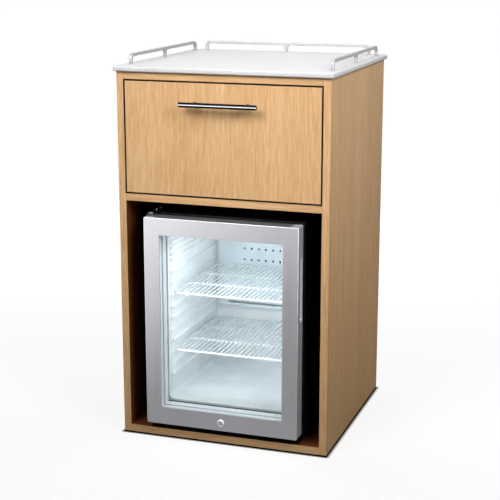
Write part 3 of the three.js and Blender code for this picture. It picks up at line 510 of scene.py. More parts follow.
def door_steel():
    """Satin steel, matt on the door's two upright returns."""
    sheet = metal("Satin steel, brushed upright", "steel", BRUSHED_UP, (0.27, 0.35), 0.06, 0.93)
    low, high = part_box("door_frame")
    margin, start, end = 0.02, 0.0012, 0.0016
    x, y, _ = sheet.place.split()
    returns = (abs(x) > high.x - margin) * y.ranged(low.y + start, low.y + end)
    return sheet.feed(metallic=returns.ranged(0, 1, 0.8, 0.1))


def grip_steel():
    """Pale satin steel, matt in the grip's pocket and bright along its rim."""
    sheet = metal("Pale satin steel", "grip", BRUSHED_UP, (0.27, 0.35), 0.06, 0.97)
    return sheet.feed(metallic=eased_mark(sheet.tree).ranged(0, 1, 0.0, 0.8))


def dark_chrome():
    """Black chrome with a painted highlight along the bar's front."""
    bar = Surface("Dark chrome")
    axis = extent("handle_bar")[0]
    _, y, z = bar.place.split()
    # painted highlight: a narrow band in the lock's pale colour along the bar's front
    band = abs(z - (axis.z + 0.0003)).ranged(0.0006, 0.0013, 1.0, 0.0)
    scratches = brushing(bar.place)
    painted_highlight = band * (y < axis.y - 0.002) * scratches["Streak"].ranged(0, 1, 0.86, 1)
    return bar.feed(
        base_color=painted_highlight.mixed(colour("chrome"), colour("lock")), metallic=1.0,
        roughness=handling(bar.place)["Smudge"].ranged(0, 1, 0.12, 0.2),
        normal=scratches["Height"].relief(0.03, 0.0001),
    )


def plug_nickel():
    """Satin nickel with painted shade in the keyway."""
    plug = metal("Satin nickel, dark keyway", "lock", BRUSHED_ACROSS, (0.3, 0.4), 0.03, 0.92, 0.3)
    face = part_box("lock_plug")[0].y
    _, y, _ = plug.place.split()
    # painted shade: the keyway turns black below the plug's face
    painted_keyway_shade = y.ranged(face + 0.0003, face + 0.0008)
    return plug.feed(base_color=painted_keyway_shade.mixed(plug.fed["base_color"], colour("paint")))


def zinc_steel():
    sheet = Surface("Zinc-plated steel")
    spangle = output(
        sheet.tree, "ShaderNodeTexVoronoi", {"Vector": sheet.place, "Scale": 240.0}, "Color"
    )
    cell = spangle.into("ShaderNodeSeparateColor")
    base = colour("zinc")
    worn, dust = edge_wear(sheet.place)["Mask"], handling(sheet.place)["Dust"]
    rubbed = (worn * 0.4).mixed(cell.mixed(dimmed(base, 0.8), base), (0.8, 0.81, 0.83, 1))
    return sheet.feed(
        base_color=(dust * 0.12).mixed(rubbed, (0.35, 0.34, 0.32, 1)), metallic=1.0,
        roughness=cell.ranged(0, 1, 0.28, 0.42), normal=cell.relief(0.03, 0.0001),
    )


def moulded(name, kind, rough, scale, depth, dust=0.0, gloss=0.5):
    """Plastic, rubber or paint with a pebbled skin, cloudy tone, rubbed edges and some dust."""
    shell = Surface(name)
    skin = mould_grain(shell.place, scale=scale)
    touched = handling(shell.place)
    base = colour(kind)
    pale = (*(v + (1 - v) * 0.18 for v in base[:3]), 1)
    cloudy = skin["Mottle"].mixed(dimmed(base, 0.9), base)
    rubbed = (edge_wear(shell.place)["Mask"] * 0.3).mixed(cloudy, pale)
    return shell.feed(
        base_color=(touched["Dust"] * dust).mixed(rubbed, (0.4, 0.38, 0.36, 1)),
        specular_ior_level=gloss, roughness=touched["Smudge"].ranged(0, 1, *rough),
        normal=skin["Height"].relief(depth, 0.0003),
    )


def rimmed_liner():
    """White liner with a black rim outside the seal."""
    liner = moulded("White liner, black rim", "liner", (0.3, 0.42), 800.0, 0.1)
    centre, half = extent("door_seal")
    x, _, z = liner.place.apart(centre).split()
    beyond = (x > half.x).peak(z > half.z)
    return liner.feed(base_color=beyond.mixed(liner.fed["base_color"], colour("paint")))


def hardboard():
    board = Surface("Hardboard")
    fibre = board.place.scaled(420, 420, 160).noise(1, 4, 0.7)
    cloud = board.place.noise(9, 3).ranged(0.4, 0.7, 0, 0.6)
    base = colour("hardboard")
    deep = dimmed(base, 0.62)
    return board.feed(
        base_color=cloud.mixed(fibre.ranged(0.3, 0.7).mixed(deep, dimmed(base, 1.5)), deep),
        roughness=fibre.ranged(0.3, 0.7, 0.6, 0.82), specular_ior_level=0.3,
        normal=fibre.relief(0.3, 0.0004),
    )


def clear_glass():
    """Glass that lets lamps shine through it, with faint wiping marks."""
    pane = Surface("Clear glass")
    smudge = handling(pane.place)["Smudge"]
    pane.feed(
        base_color=colour("glass"), ior=1.25, transmission_weight=1.0,
        roughness=smudge.ranged(0, 1, 0.0, 0.012),
    )
    rays = light_rays(pane.tree)
    through = rays["Is Shadow Ray"].peak(rays["Is Diffuse Ray"])
    shaders = {
        1: Value(pane.tree, pane.shader.outputs[0]),
        2: output(pane.tree, "ShaderNodeBsdfTransparent", {0: colour("glass")}),
    }
    pane.show(through.into("ShaderNodeMixShader", shaders))
    return pane


def lamp_lens():
    lens = Surface("Lamp lens")
    prisms = output(
        lens.tree, "ShaderNodeTexWave", {"Vector": lens.place, "Scale": 120.0}, "Fac", bands_direction="X"
    )
    frost = mould_grain(lens.place, scale=900.0)["Mottle"]
    return lens.feed(
        base_color=(0.9, 0.95, 1, 1),
        emission_color=prisms.ranged(0, 1, 0, 0.25).mixed((1, 0.99, 0.97, 1), (0.82, 0.92, 1, 1)),
        emission_strength=bpy.context.scene.minibar_stage.lamp_glow,
        roughness=frost.ranged(0, 1, 0.3, 0.45), normal=prisms.relief(0.4, 0.0006),
    )


GRAIN_UP, GRAIN_ACROSS, GRAIN_BACK = (0, 0, 0), (0, -QUARTER, 0), (QUARTER, 0, 0)
BRUSHED_ACROSS, BRUSHED_BACK, BRUSHED_UP = (0, 0, 0), (0, 0, QUARTER), (0, QUARTER, 0)
FINISHES = {
    "oak_upright": (wood, "Oak veneer, upright grain", "oak", GRAIN_UP),
    "oak_level": (wood, "Oak veneer, level grain", "oak", GRAIN_ACROSS),
    "oak_drawer": (wood, "Oak veneer, arched grain", "oak", GRAIN_UP, (0.03, 0.0, -0.83), 0.5),
    "birch_level": (wood, "Birch board, level grain", "birch", GRAIN_ACROSS),
    "birch_back": (wood, "Birch board, grain front to back", "birch", GRAIN_BACK),
    "rail_across": (
        metal, "Satin rail, brushed across", "rear_rail", BRUSHED_ACROSS, (0.4, 0.5), 0.04, 0.96, 0.4
    ),
    "rail_back": (
        metal, "Satin rail, brushed front to back", "rail", BRUSHED_BACK, (0.4, 0.5), 0.04, 0.94, 0.5
    ),
    "lock_nickel": (metal, "Satin nickel", "lock", BRUSHED_ACROSS, (0.24, 0.32), 0.03, 0.97, 0.8),
    "aluminium": (metal, "Extruded aluminium", "aluminium", BRUSHED_UP, (0.3, 0.42)),
    "dark_anodised": (
        metal, "Dark anodised aluminium", "cold_sink", BRUSHED_UP, (0.4, 0.5), 0.12, 0.82, 0.5
    ),
    "anodised_spacer": (
        metal, "Anodised aluminium", "spacer", BRUSHED_ACROSS, (0.4, 0.5), 0.06, 0.93, 0.15
    ),
    "black_paint": (moulded, "Black stoved paint", "paint", (0.36, 0.48), 900.0, 0.12, 0.03),
    "black_rubber": (moulded, "Black rubber", "rubber", (0.6, 0.75), 1600.0, 0.2, 0.05, 0.35),
    "black_plastic": (moulded, "Black plastic", "plastic", (0.42, 0.56), 1300.0, 0.2, 0.04),
    "white_liner": (moulded, "White liner", "liner", (0.3, 0.42), 800.0, 0.1),
    "cover_plastic": (moulded, "Pale blue plastic", "cover", (0.3, 0.42), 800.0, 0.1),
    "wire_coat": (moulded, "Coated wire", "coat", (0.24, 0.34), 500.0, 0.12),
    "foam_fill": (moulded, "Insulating foam", "foam", (0.85, 0.95), 600.0, 0.6, 0.0, 0.2),
    "white_slab": (white_slab,),
    "door_steel": (door_steel,),
    "grip_steel": (grip_steel,),
    "dark_chrome": (dark_chrome,),
    "plug_nickel": (plug_nickel,),
    "zinc_steel": (zinc_steel,),
    "rimmed_liner": (rimmed_liner,),
    "hardboard": (hardboard,),
    "clear_glass": (clear_glass,),
    "lamp_lens": (lamp_lens,),
}


@cache
def finish(name):
    """A finish's material, made when it is first asked for."""
    maker, *values = FINISHES[name]
    return maker(*values).material


# Forms


def arc(centre, radius, start, end, steps):
    """Points on an arc, with angles in quarter turns."""
    angles = [QUARTER * (start + (end - start) * i / steps) for i in range(steps + 1)]
    return [(centre[0] + radius * math.cos(a), centre[1] + radius * math.sin(a)) for a in angles]


def rounded_rectangle(half_u, half_v, corner, steps):
    points = []
    for quarter, (su, sv) in enumerate(((1, 1), (-1, 1), (-1, -1), (1, -1))):
        centre = (su * (half_u - corner), sv * (half_v - corner))
        points += arc(centre, corner, quarter, quarter + 1, steps)
    return points


def joined_rings(rings, closed=False):
    """A surface through rings of points, which have the same count or are a single point at a pole."""
    form = bmesh.new()
    loops = [[form.verts.new(p) for p in ring] for ring in rings]
    pairs = list(zip(loops, loops[1:]))
    if closed:
        pairs.append((loops[-1], loops[0]))
    for a, b in pairs:
        count = max(len(a), len(b))
        for i in range(count):
            j = (i + 1) % count
            corners = [a[i % len(a)], a[j % len(a)], b[j % len(b)], b[i % len(b)]]
            form.faces.new(dict.fromkeys(corners))
    for loop in (loops[0], loops[-1]):
        if len(loop) > 2 and not closed:
            form.faces.new(loop)
    bmesh.ops.recalc_face_normals(form, faces=form.faces)
    return form


def along(axis, at=(0, 0, 0)):
    """A way to place two sideways offsets from a point, at a depth along an axis."""
    others = [at[i] for i in (X, Y, Z) if i != axis]

    def place(u, v, depth):
        point = [others[0] + u, others[1] + v]
        point.insert(axis, depth)
        return point

    return place


def rim(place, half, corner, grow, depth, steps=6):
    """A ring round a rounded rectangle at a depth, its sides and corners grown by a margin."""
    outline = rounded_rectangle(half[0] + grow, half[1] + grow, corner + grow, steps)
    return [place(u, v, depth) for u, v in outline]


def pushed(outline, ends, place):
    """An outline of (u, v) points pushed between two depths."""
    return joined_rings([[place(u, v, end) for u, v in outline] for end in ends])


def turned(profile, place, closed=False):
    """A profile of (radius, depth) points turned about the axis of a place."""
    steps = sizes().round_steps
    turns = [2 * math.pi * i / steps for i in range(steps)]
    rings = []
    for radius, depth in profile:
        ring = [place(radius * math.cos(t), radius * math.sin(t), depth) for t in turns]
        rings.append(ring if radius else ring[:1])
    return joined_rings(rings, closed)


def drill(radius, middle, place):
    """A round cutter that reaches past its middle on both sides."""
    near, far = middle - OVERCUT, middle + OVERCUT
    return turned([(0, near), (radius, near), (radius, far), (0, far)], place)


def node_form(node):
    """A CAD node's mesh with its triangles welded into flat faces."""
    form = bmesh.new()
    form.from_mesh(frame["nodes"][node].data)
    bmesh.ops.remove_doubles(form, verts=form.verts, dist=WELD)
    bmesh.ops.dissolve_limit(form, angle_limit=FLAT, verts=form.verts, edges=form.edges)
    return form


def standing(name, form):
    mesh = bpy.data.meshes.new(name)
    form.to_mesh(mesh)
    form.free()
    mesh.shade_smooth()
    piece = bpy.data.objects.new(name, mesh)
    bpy.context.scene.collection.objects.link(piece)
    return piece


def modified(piece, kind, **settings):
    modifier = piece.modifiers.new(kind.title(), kind)
    for key, value in settings.items():
        setattr(modifier, key, value)
    return modifier


def settled(piece):
    """The piece with its modifiers worked into a plain mesh."""
    graph = bpy.context.evaluated_depsgraph_get()
    mesh = bpy.data.meshes.new_from_object(piece.evaluated_get(graph))
    before = piece.data
    piece.modifiers.clear()
    piece.data = mesh
    bpy.data.meshes.remove(before)
    mesh.name = piece.name
    return piece


def flatten(piece):
    """Lets wide faces set the normals of the narrow rounds beside them."""
    modified(piece, "WEIGHTED_NORMAL", keep_sharp=True, weight=100)
    return settled(piece)


def eased(piece, radius, steps=2):
    """Rounds the piece's sharp edges and marks the new faces in its eased attribute."""
    plain, rounds = 0, 1
    piece.data.materials.append(None)
    piece.data.materials.append(None)
    modified(
        piece, "BEVEL", width=radius, segments=steps, limit_method="ANGLE",
        angle_limit=math.radians(SHARP), material=rounds,
    )
    flatten(piece)
    mark = piece.data.attributes.new("eased", "FLOAT", "CORNER")
    for face in piece.data.polygons:
        if face.material_index == rounds:
            for corner in face.loop_indices:
                mark.data[corner].value = 1.0
        face.material_index = plain
    return piece


def crisp(piece, angle=SHARP):
    """Keeps hard edges hard and wide faces flat where no bevel has set the normals."""
    piece.data.set_sharp_from_angle(angle=math.radians(angle))
    return flatten(piece)


def bored(piece, *cutters):
    """Cuts the cutters' forms out of the piece."""
    for form in cutters:
        tool = standing("cutter", form)
        modified(piece, "BOOLEAN", operation="DIFFERENCE", solver="EXACT", object=tool)
        settled(piece)
        bpy.data.objects.remove(tool)
    return piece


def dressed(piece, name, node):
    """Gives a piece its finish and lets it stand for a CAD node."""
    piece.data.materials.clear()
    piece.data.materials.append(finish(name))
    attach(piece, frame["nodes"][node]["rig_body"])
    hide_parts(node)


def finished(node, form, name, *cutters, angle=SHARP):
    """A form that stands for a CAD node, bored by the cutters' forms, with hard edges and a finish."""
    dressed(crisp(bored(standing(f"finished_{node}", form), *cutters), angle), name, node)


def soften(name, radius, *nodes, steps=2):
    """CAD nodes' own shapes with eased edges and a finish."""
    for node in nodes:
        dressed(eased(standing(f"finished_{node}", node_form(node)), radius, steps), name, node)


# Geometry Nodes


def repeating(name, **inputs):
    """Makes a geometry tree of a function of its inputs, and realizes and paints what it returns."""

    def wrapped(build):
        def painted(given):
            whole = build(given).into("GeometryNodeRealizeInstances")
            return {"Geometry": whole.into("GeometryNodeSetMaterial", {"Material": given["Finish"]})}

        @cache
        def tree():
            sockets = {"Geometry": "Geometry"}
            sockets.update({spoken(key): kind for key, kind in inputs.items()}, Finish="Material")
            return group_tree(name, "GeometryNodeTree", sockets, {"Geometry": "Geometry"}, painted)

        return tree

    return wrapped


def spoken(key):
    """A socket's name, from its name in lower case with underscores."""
    return key.replace("_", " ").capitalize()


def grown(name, tree, form=None, **values):
    """A piece made by a geometry tree, whose inputs are named in lower case with underscores."""
    piece = standing(name, form or bmesh.new())
    modifier = modified(piece, "NODES", node_group=tree)
    inputs = {s.name: s.identifier for s in tree.interface.items_tree if s.in_out == "INPUT"}
    for key, value in values.items():
        modifier[inputs[spoken(key)]] = value
    return settled(piece)


def joined(*geometries):
    node = put(geometries[0].tree, "GeometryNodeJoinGeometry")
    for geometry in geometries:
        fill(geometry.tree, node, {0: geometry})
    return Value(geometries[0].tree, node.outputs[0])


def wire(start, end, diameter, steps):
    """Straight wire between two points."""
    path = output(start.tree, "GeometryNodeCurvePrimitiveLine", {"Start": start, "End": end})
    return wire_along(path, diameter, steps)


def wire_along(path, diameter, steps):
    inputs = {"Resolution": steps, "Radius": diameter * 0.5}
    section = output(path.tree, "GeometryNodeCurvePrimitiveCircle", inputs)
    mesh = path.into("GeometryNodeCurveToMesh", {"Profile Curve": section, "Fill Caps": True})
    return mesh.into("GeometryNodeSetShadeSmooth")


def row_of(instance, count, start, offset):
    inputs = {"Count": count, "Start Location": start, "Offset": offset}
    line = output(instance.tree, "GeometryNodeMeshLine", inputs)
    return line.into("GeometryNodeInstanceOnPoints", {"Instance": instance})


def moved(geometry, **inputs):
    return geometry.into("GeometryNodeTransform", {key.title(): v for key, v in inputs.items()})


@repeating(
    "Wire shelf", width="Float", depth="Float", frame_wire="Float", fine_wire="Float",
    pitch="Float", bars="Int", corner="Float", place="Vector",
)
def wire_shelf(given):
    """A bent frame of thick wire, cross bars under it and fine wires from front to back on top."""
    thick, thin, pitch, bars = (given[key] for key in ("Frame wire", "Fine wire", "Pitch", "Bars"))
    tree = thick.tree
    across, back = given["Width"] - thick, given["Depth"] - thick
    half_across, half_back, half_depth = across * 0.5, back * 0.5, given["Depth"] * 0.5
    loop = output(
        tree, "GeometryNodeCurvePrimitiveQuadrilateral", {"Width": across, "Height": back}
    )
    bent = loop.into(
        "GeometryNodeFilletCurve", {"Count": 6, "Radius": given["Corner"]}, mode="POLY"
    )
    bar = wire(vector(tree, half_across * -1.0), vector(tree, half_across), thick, 12)
    step = back / (bars + 1.0)
    cross_bars = row_of(bar, bars, vector(tree, 0.0, step - half_back), vector(tree, 0.0, step))
    count = ((across - pitch) / pitch).maths("FLOOR")
    first = (count - 1.0) * (pitch * -0.5)
    rise = (thick + thin) * 0.45
    rod = wire(vector(tree, 0.0, half_depth * -1.0), vector(tree, 0.0, half_depth), thin, 10)
    rods = row_of(rod, count, vector(tree, first, 0.0, rise), vector(tree, pitch))
    return moved(joined(wire_along(bent, thick, 12), cross_bars, rods), translation=given["Place"])


@repeating(
    "Air cover holes", hole="Float", pitch="Float", row_pitch="Float", columns="Int", through="Float",
    first="Vector", slot="Vector", slot_place="Vector",
)
def perforated(given):
    """Two rows of round holes and a slot, cut along Y through the piece."""
    piece = given["Geometry"]
    inputs = {"Vertices": 24, "Radius": given["Hole"] * 0.5, "Depth": given["Through"]}
    hole = moved(output(piece.tree, "GeometryNodeMeshCylinder", inputs), rotation=(QUARTER, 0, 0))
    row = row_of(hole, given["Columns"], given["First"], vector(piece.tree, given["Pitch"]))
    second = moved(row, translation=vector(piece.tree, 0.0, 0.0, given["Row pitch"] * -1.0))
    slot = output(piece.tree, "GeometryNodeMeshCube", {"Size": given["Slot"]})
    cuts = joined(row, second, moved(slot, translation=given["Slot place"]))
    cuts = cuts.into("GeometryNodeRealizeInstances")
    return piece.into("GeometryNodeMeshBoolean", {"Mesh 2": cuts}, operation="DIFFERENCE")


@repeating("Screws", head="Float")
def screw_heads(given):
    """Pan-head screws with crossed slots on points, each along its facing attribute."""
    head, points = given["Head"], given["Geometry"]
    tree, rise, arm, blade = head.tree, head * HEAD_RISE, head * 0.52, head * 0.12
    dome = put(tree, "GeometryNodeMeshCone", {
        "Vertices": 20, "Radius Top": head * 0.36, "Radius Bottom": head * 0.5, "Depth": rise,
    })
    slotted = put(
        tree, "GeometryNodeMeshBoolean", {"Mesh 1": Value(tree, dome.outputs[0])}, operation="DIFFERENCE"
    )
    for size in (vector(tree, arm, blade, rise), vector(tree, blade, arm, rise)):
        cutter = output(tree, "GeometryNodeMeshCube", {"Size": size})
        lifted = moved(cutter, translation=vector(tree, 0.0, 0.0, head * 0.3))
        fill(tree, slotted, {"Mesh 2": lifted})
    facing = output(
        tree, "GeometryNodeInputNamedAttribute", {"Name": "facing"}, data_type="FLOAT_VECTOR"
    )
    turn = output(tree, "FunctionNodeAlignRotationToVector", {"Vector": facing}, axis="Z")
    screw = Value(tree, slotted.outputs[0])
    return points.into("GeometryNodeInstanceOnPoints", {"Instance": screw, "Rotation": turn})


def screws(name, body, spots):
    """Screws on one body, from (place, facing) pairs."""
    form = bmesh.new()
    layer = form.verts.layers.float_vector.new("facing")
    for place, facing in spots:
        form.verts.new(place)[layer] = facing
    plating = finish("zinc_steel")
    piece = crisp(grown(name, screw_heads(), form, head=sizes().screw_head, finish=plating))
    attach(piece, body)


# Pieces


class MINIBAR_OT_carcass(bpy.types.Operator):
    """Veneered boards of the carcass, its rear board and its glides"""

    bl_idname = "minibar.carcass"
    bl_label = "Carcass"

    def execute(self, context):
        size = sizes()
        soften("oak_upright", size.board_edge, "left_side_panel", "right_side_panel")
        soften("oak_level", size.board_edge, "bottom_panel", "divider_shelf", "top_panel")
        self.rear_board()
        for end in ("front", "rear"):
            soften("black_plastic", size.sheet_edge, f"{end}_left_glide", f"{end}_right_glide")
        return {"FINISHED"}

    def rear_board(self):
        """A plain board with a low and a high vent, each given by its bottom and its top."""
        vents, half_width, corner = ((0.051, 0.111), (0.233, 0.473)), 0.14, 0.02
        low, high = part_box("back_panel")
        outline = [(low.x, low.z), (high.x, low.z), (high.x, high.z), (low.x, high.z)]
        ends, cutters = (low.y - OVERCUT, high.y + OVERCUT), []
        for bottom, top in vents:
            vent = rounded_rectangle(half_width, (top - bottom) / 2, corner, steps=8)
            cutters.append(pushed(vent, ends, along(Y, (0, 0, (bottom + top) / 2))))
        finished("back_panel", pushed(outline, (low.y, high.y), along(Y)), "hardboard", *cutters)


class MINIBAR_OT_worktop(bpy.types.Operator):
    """White slab with rounded corners and rounded edges"""

    bl_idname = "minibar.worktop"
    bl_label = "Worktop"

    def execute(self, context):
        low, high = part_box("worktop")
        centre, half = extent("worktop")
        corner, edge, steps = 0.008, sizes().slab_edge, 6
        slab = partial(rim, along(Z, centre), half.xy, corner, steps=10)
        under = arc((-edge, low.z + edge), edge, -1, 0, steps)
        upper = arc((-edge, high.z - edge), edge, 0, 1, steps)
        rings = [slab(*point) for point in under + upper]
        finished("worktop", joined_rings(rings), "white_slab", angle=60)
        return {"FINISHED"}


def rail_outline(span, height, bar):
    """One rail from its side: a bar bent down onto end feet, with a filleted post halfway."""
    bend, fillet, post, steps = 1.75 * bar, bar, bar / 2, 10
    under = height - bar
    outline = [(0, 0)]
    outline += arc((bend, height - bend), bend, 2, 1, steps)
    outline += arc((span - bend, height - bend), bend, 1, 0, steps)
    outline.append((span, 0))
    for start, end in ((span - bar, span / 2 + post), (span / 2 - post, bar)):
        outline.append((start, 0))
        outline += arc((start - fillet, under - fillet), fillet, 0, 1, steps)
        outline += arc((end + fillet, under - fillet), fillet, 1, 2, steps)
        outline.append((end, 0))
    return outline


class MINIBAR_OT_rails(bpy.types.Operator):
    """Gallery rails bent from bar, with rounded edges"""

    bl_idname = "minibar.rails"
    bl_label = "Gallery rails"

    def execute(self, context):
        rails = {"left_rail": X, "right_rail": X, "rear_rail": Y}
        for node, axis in rails.items():
            low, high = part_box(node)
            size = high - low
            outline = rail_outline(size[1 - axis], size.z, size[axis])
            form = pushed(outline, (low[axis], high[axis]), along(axis, low))
            name = "rail_across" if axis == Y else "rail_back"
            dressed(eased(standing(f"finished_{node}", form), sizes().rail_edge, steps=3), name, node)
        return {"FINISHED"}


class MINIBAR_OT_drawer(bpy.types.Operator):
    """Drawer front and the boards of the drawer box"""

    bl_idname = "minibar.drawer"
    bl_label = "Drawer"

    def execute(self, context):
        size = sizes()
        soften("oak_drawer", size.board_edge, "drawer_front")
        soften("birch_back", size.board_edge, "drawer_left_side", "drawer_right_side")
        soften("birch_level", size.sheet_edge, "drawer_inner_front", "drawer_back", "drawer_bottom")
        return {"FINISHED"}


class MINIBAR_OT_handle(bpy.types.Operator):
    """Round bar handle on two posts"""

    bl_idname = "minibar.handle"
    bl_label = "Handle"

    def execute(self, context):
        low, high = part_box("handle_bar")
        centre, half = extent("handle_bar")
        radius, edge, collar, steps = half.z, 0.0012, 0.0006, 4
        near = arc((radius - edge, low.x + edge), edge, -1, 0, steps)
        far = arc((radius - edge, high.x - edge), edge, 0, 1, steps)
        profile = [(0, low.x), *near, *far, (0, high.x)]
        finished("handle_bar", turned(profile, along(X, centre)), "dark_chrome", angle=50)
        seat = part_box("drawer_front")[0].y
        for node in ("handle_left_post", "handle_right_post"):
            mid, half = extent(node)
            shank, foot = half.x, half.x + collar
            profile = [
                (0, centre.y), (shank, centre.y), (shank, seat - 2 * collar),
                (foot, seat - collar), (foot, seat - CLEARANCE), (0, seat - CLEARANCE),
            ]
            finished(node, turned(profile, along(Y, mid)), "dark_chrome")
        return {"FINISHED"}


class MINIBAR_OT_slides(bpy.types.Operator):
    """Telescopic drawer slides"""

    bl_idname = "minibar.slides"
    bl_label = "Drawer slides"

    def execute(self, context):
        for side in ("left", "right"):
            members = (f"{side}_slide_{member}" for member in ("outer", "middle", "inner"))
            soften("zinc_steel", sizes().sheet_edge / 2, *members, steps=1)
        return {"FINISHED"}


class MINIBAR_OT_case(bpy.types.Operator):
    """Painted refrigerator case, its foam and its runners"""

    bl_idname = "minibar.case"
    bl_label = "Refrigerator case"

    def execute(self, context):
        soften("black_paint", sizes().sheet_edge, "case_wrap", "case_base", "case_back")
        soften("black_rubber", sizes().moulded_edge, "left_runner", "right_runner")
        frame["nodes"]["insulation"].material_slots[0].material = finish("foam_fill")
        return {"FINISHED"}


class MINIBAR_OT_inside(bpy.types.Operator):
    """Liner, ribbed shelf guides, perforated air cover and lamp"""

    bl_idname = "minibar.inside"
    bl_label = "Refrigerator inside"

    def execute(self, context):
        edge = sizes().moulded_edge
        soften("rimmed_liner", edge, "liner", steps=3)
        soften("white_liner", edge, "left_shelf_guide", "right_shelf_guide")
        soften("lamp_lens", edge, "interior_lamp")
        self.air_cover()
        return {"FINISHED"}

    def air_cover(self):
        """A tray with two rows of air holes high up and a slot low down."""
        low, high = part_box("air_cover")
        centre, half = extent("air_cover")
        sheet, corner, edge = 0.002, 0.006, 0.0025
        pitch, columns, drop, row_pitch = 0.0197, 8, 0.127, 0.03
        through, slot_width, slot_height, slot_rise = 3 * sheet, 0.228, 0.005, 0.0125
        tray = partial(rim, along(Y, centre), half.xz, corner)
        rings = [tray(-sheet, low.y + sheet), tray(-sheet, high.y), tray(0, high.y)]
        rings += [tray(*point) for point in arc((-edge, low.y + edge), edge, 0, -1, 4)]
        piece = grown(
            "finished_air_cover", perforated(), joined_rings(rings), finish=finish("cover_plastic"),
            hole=sizes().cover_hole, pitch=pitch, row_pitch=row_pitch, columns=columns,
            through=through, first=(-pitch * (columns - 1) / 2, low.y, high.z - drop),
            slot=(slot_width, through, slot_height), slot_place=(0.0, low.y, low.z + slot_rise),
        )
        dressed(crisp(piece, angle=50), "cover_plastic", "air_cover")


class MINIBAR_OT_shelves(bpy.types.Operator):
    """Coated wire shelves"""

    bl_idname = "minibar.shelves"
    bl_label = "Wire shelves"

    def execute(self, context):
        size = sizes()
        for node in ("lower_shelf", "upper_shelf"):
            low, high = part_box(node)
            centre = (low + high) / 2
            piece = grown(
                f"finished_{node}", wire_shelf(), finish=finish("wire_coat"),
                width=high.x - low.x, depth=high.y - low.y, frame_wire=size.frame_wire,
                fine_wire=size.fine_wire, pitch=size.wire_pitch, bars=2, corner=size.shelf_corner,
                place=(centre.x, centre.y, low.z + size.frame_wire / 2),
            )
            dressed(piece, "wire_coat", node)
        return {"FINISHED"}


class MINIBAR_OT_cooling(bpy.types.Operator):
    """Heat sinks inside and behind the rear wall"""

    bl_idname = "minibar.cooling"
    bl_label = "Heat sinks"

    def execute(self, context):
        soften("dark_anodised", sizes().sheet_edge / 2, "cold_sink", steps=1)
        soften("aluminium", sizes().sheet_edge / 2, "hot_sink", steps=1)
        return {"FINISHED"}


class MINIBAR_OT_hinges(bpy.types.Operator):
    """Hinge plates, pins and the lock's keeper"""

    bl_idname = "minibar.hinges"
    bl_label = "Hinges"

    def execute(self, context):
        edge = sizes().sheet_edge / 2
        soften("black_paint", edge, "upper_hinge_plate", "lower_hinge_plate")
        soften("zinc_steel", edge, "upper_hinge_pin", "lower_hinge_pin", "lock_keeper")
        return {"FINISHED"}


class MINIBAR_OT_door(bpy.types.Operator):
    """Door frame, core, double glazing, bellows seal and finger grip"""

    bl_idname = "minibar.door"
    bl_label = "Refrigerator door"

    def execute(self, context):
        size = sizes()
        self.skin()
        soften("white_liner", size.moulded_edge, "door_core")
        soften("clear_glass", size.sheet_edge, "outer_pane", "inner_pane")
        soften("anodised_spacer", size.sheet_edge, "glazing_spacer")
        soften("grip_steel", size.moulded_edge, "edge_grip")
        self.seal()
        return {"FINISHED"}

    def skin(self):
        """A shallow steel pan with rolled edges, its window, lock hole, hinge holes and grip slot."""
        low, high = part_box("door_frame")
        centre, half = extent("door_frame")
        sheet, edge, roll, corner, steps = 0.0015, 0.0015, 0.0004, 0.004, 6
        window_centre, window_half, window_corner = Vector((0, 0, 0.297)), (0.1535, 0.215), 0.0006
        lock_hole, pin_hole, slot_corner, slot_depth = 0.0077, 0.0037, 0.0051, 0.004
        front, back = low.y, high.y
        pan = partial(rim, along(Y, centre), half.xz, corner)
        window = partial(rim, along(Y, window_centre), window_half, window_corner)
        rings = [window(0, front + sheet)]
        rings += [window(*point) for point in arc((roll, front + roll), roll, 2, 3, 4)]
        rings += [pan(*point) for point in arc((-edge, front + edge), edge, -1, 0, steps)]
        rings += [pan(0, back), pan(-sheet, back), pan(-sheet, front + sheet)]
        grip, grip_half = extent("edge_grip")
        lock, pin = extent("lock_body")[0], extent("upper_hinge_pin")[0]
        slot = rounded_rectangle(grip_half.y + CLEARANCE, grip_half.z + CLEARANCE, slot_corner, steps)
        cutters = [
            pushed(slot, (half.x - slot_depth, half.x + OVERCUT), along(X, grip)),
            drill(lock_hole, front, along(Y, lock)),
            *(drill(pin_hole, z, along(Z, pin)) for z in (low.z, high.z)),
        ]
        finished("door_frame", joined_rings(rings, closed=True), "door_steel", *cutters)

    def seal(self):
        """A mounting flange, pleated bellows and the tube that holds the magnet, swept round the door."""
        low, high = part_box("door_seal")
        centre, half = extent("door_seal")
        width, depth, corner = 0.012, high.y - low.y, 0.016
        half_profile = [
            (0.0, 0.0), (0.0, 0.14), (0.16, 0.2), (0.04, 0.3),
            (0.2, 0.4), (0.06, 0.5), (0.06, 0.94), (0.12, 1.0),
        ]
        profile = half_profile + [(1 - u, v) for u, v in reversed(half_profile)]
        sweep = partial(rim, along(Y, centre), half.xz, corner)
        rings = [sweep((u - 1) * width, low.y + v * depth) for u, v in profile]
        finished("door_seal", joined_rings(rings, closed=True), "black_rubber", angle=50)


class MINIBAR_OT_lock(bpy.types.Operator):
    """Key lock with its rose, plug and cam"""

    bl_idname = "minibar.lock"
    bl_label = "Key lock"

    def execute(self, context):
        low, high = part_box("lock_body")
        axis = extent("lock_body")[0]
        face, back, rose = low.y, high.y, high.x
        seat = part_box("door_frame")[0].y - CLEARANCE
        running_gap, barrel, dish, flat = 0.0003, 0.0075, 0.0018, 0.0002
        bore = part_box("lock_plug")[1].x + running_gap
        crest = bore + dish
        profile = [
            (bore, back), (bore, face + 0.0006), (bore + flat, face + 0.0005), (crest - flat, face),
            (crest + flat, face), (rose - 0.0003, face + 0.0013), (rose, face + 0.0016),
            (rose, seat), (barrel, seat), (barrel, back),
        ]
        finished("lock_body", turned(profile, along(Y, axis), closed=True), "lock_nickel")
        soften("plug_nickel", sizes().sheet_edge / 2, "lock_plug")
        soften("zinc_steel", sizes().sheet_edge, "lock_cam")
        return {"FINISHED"}


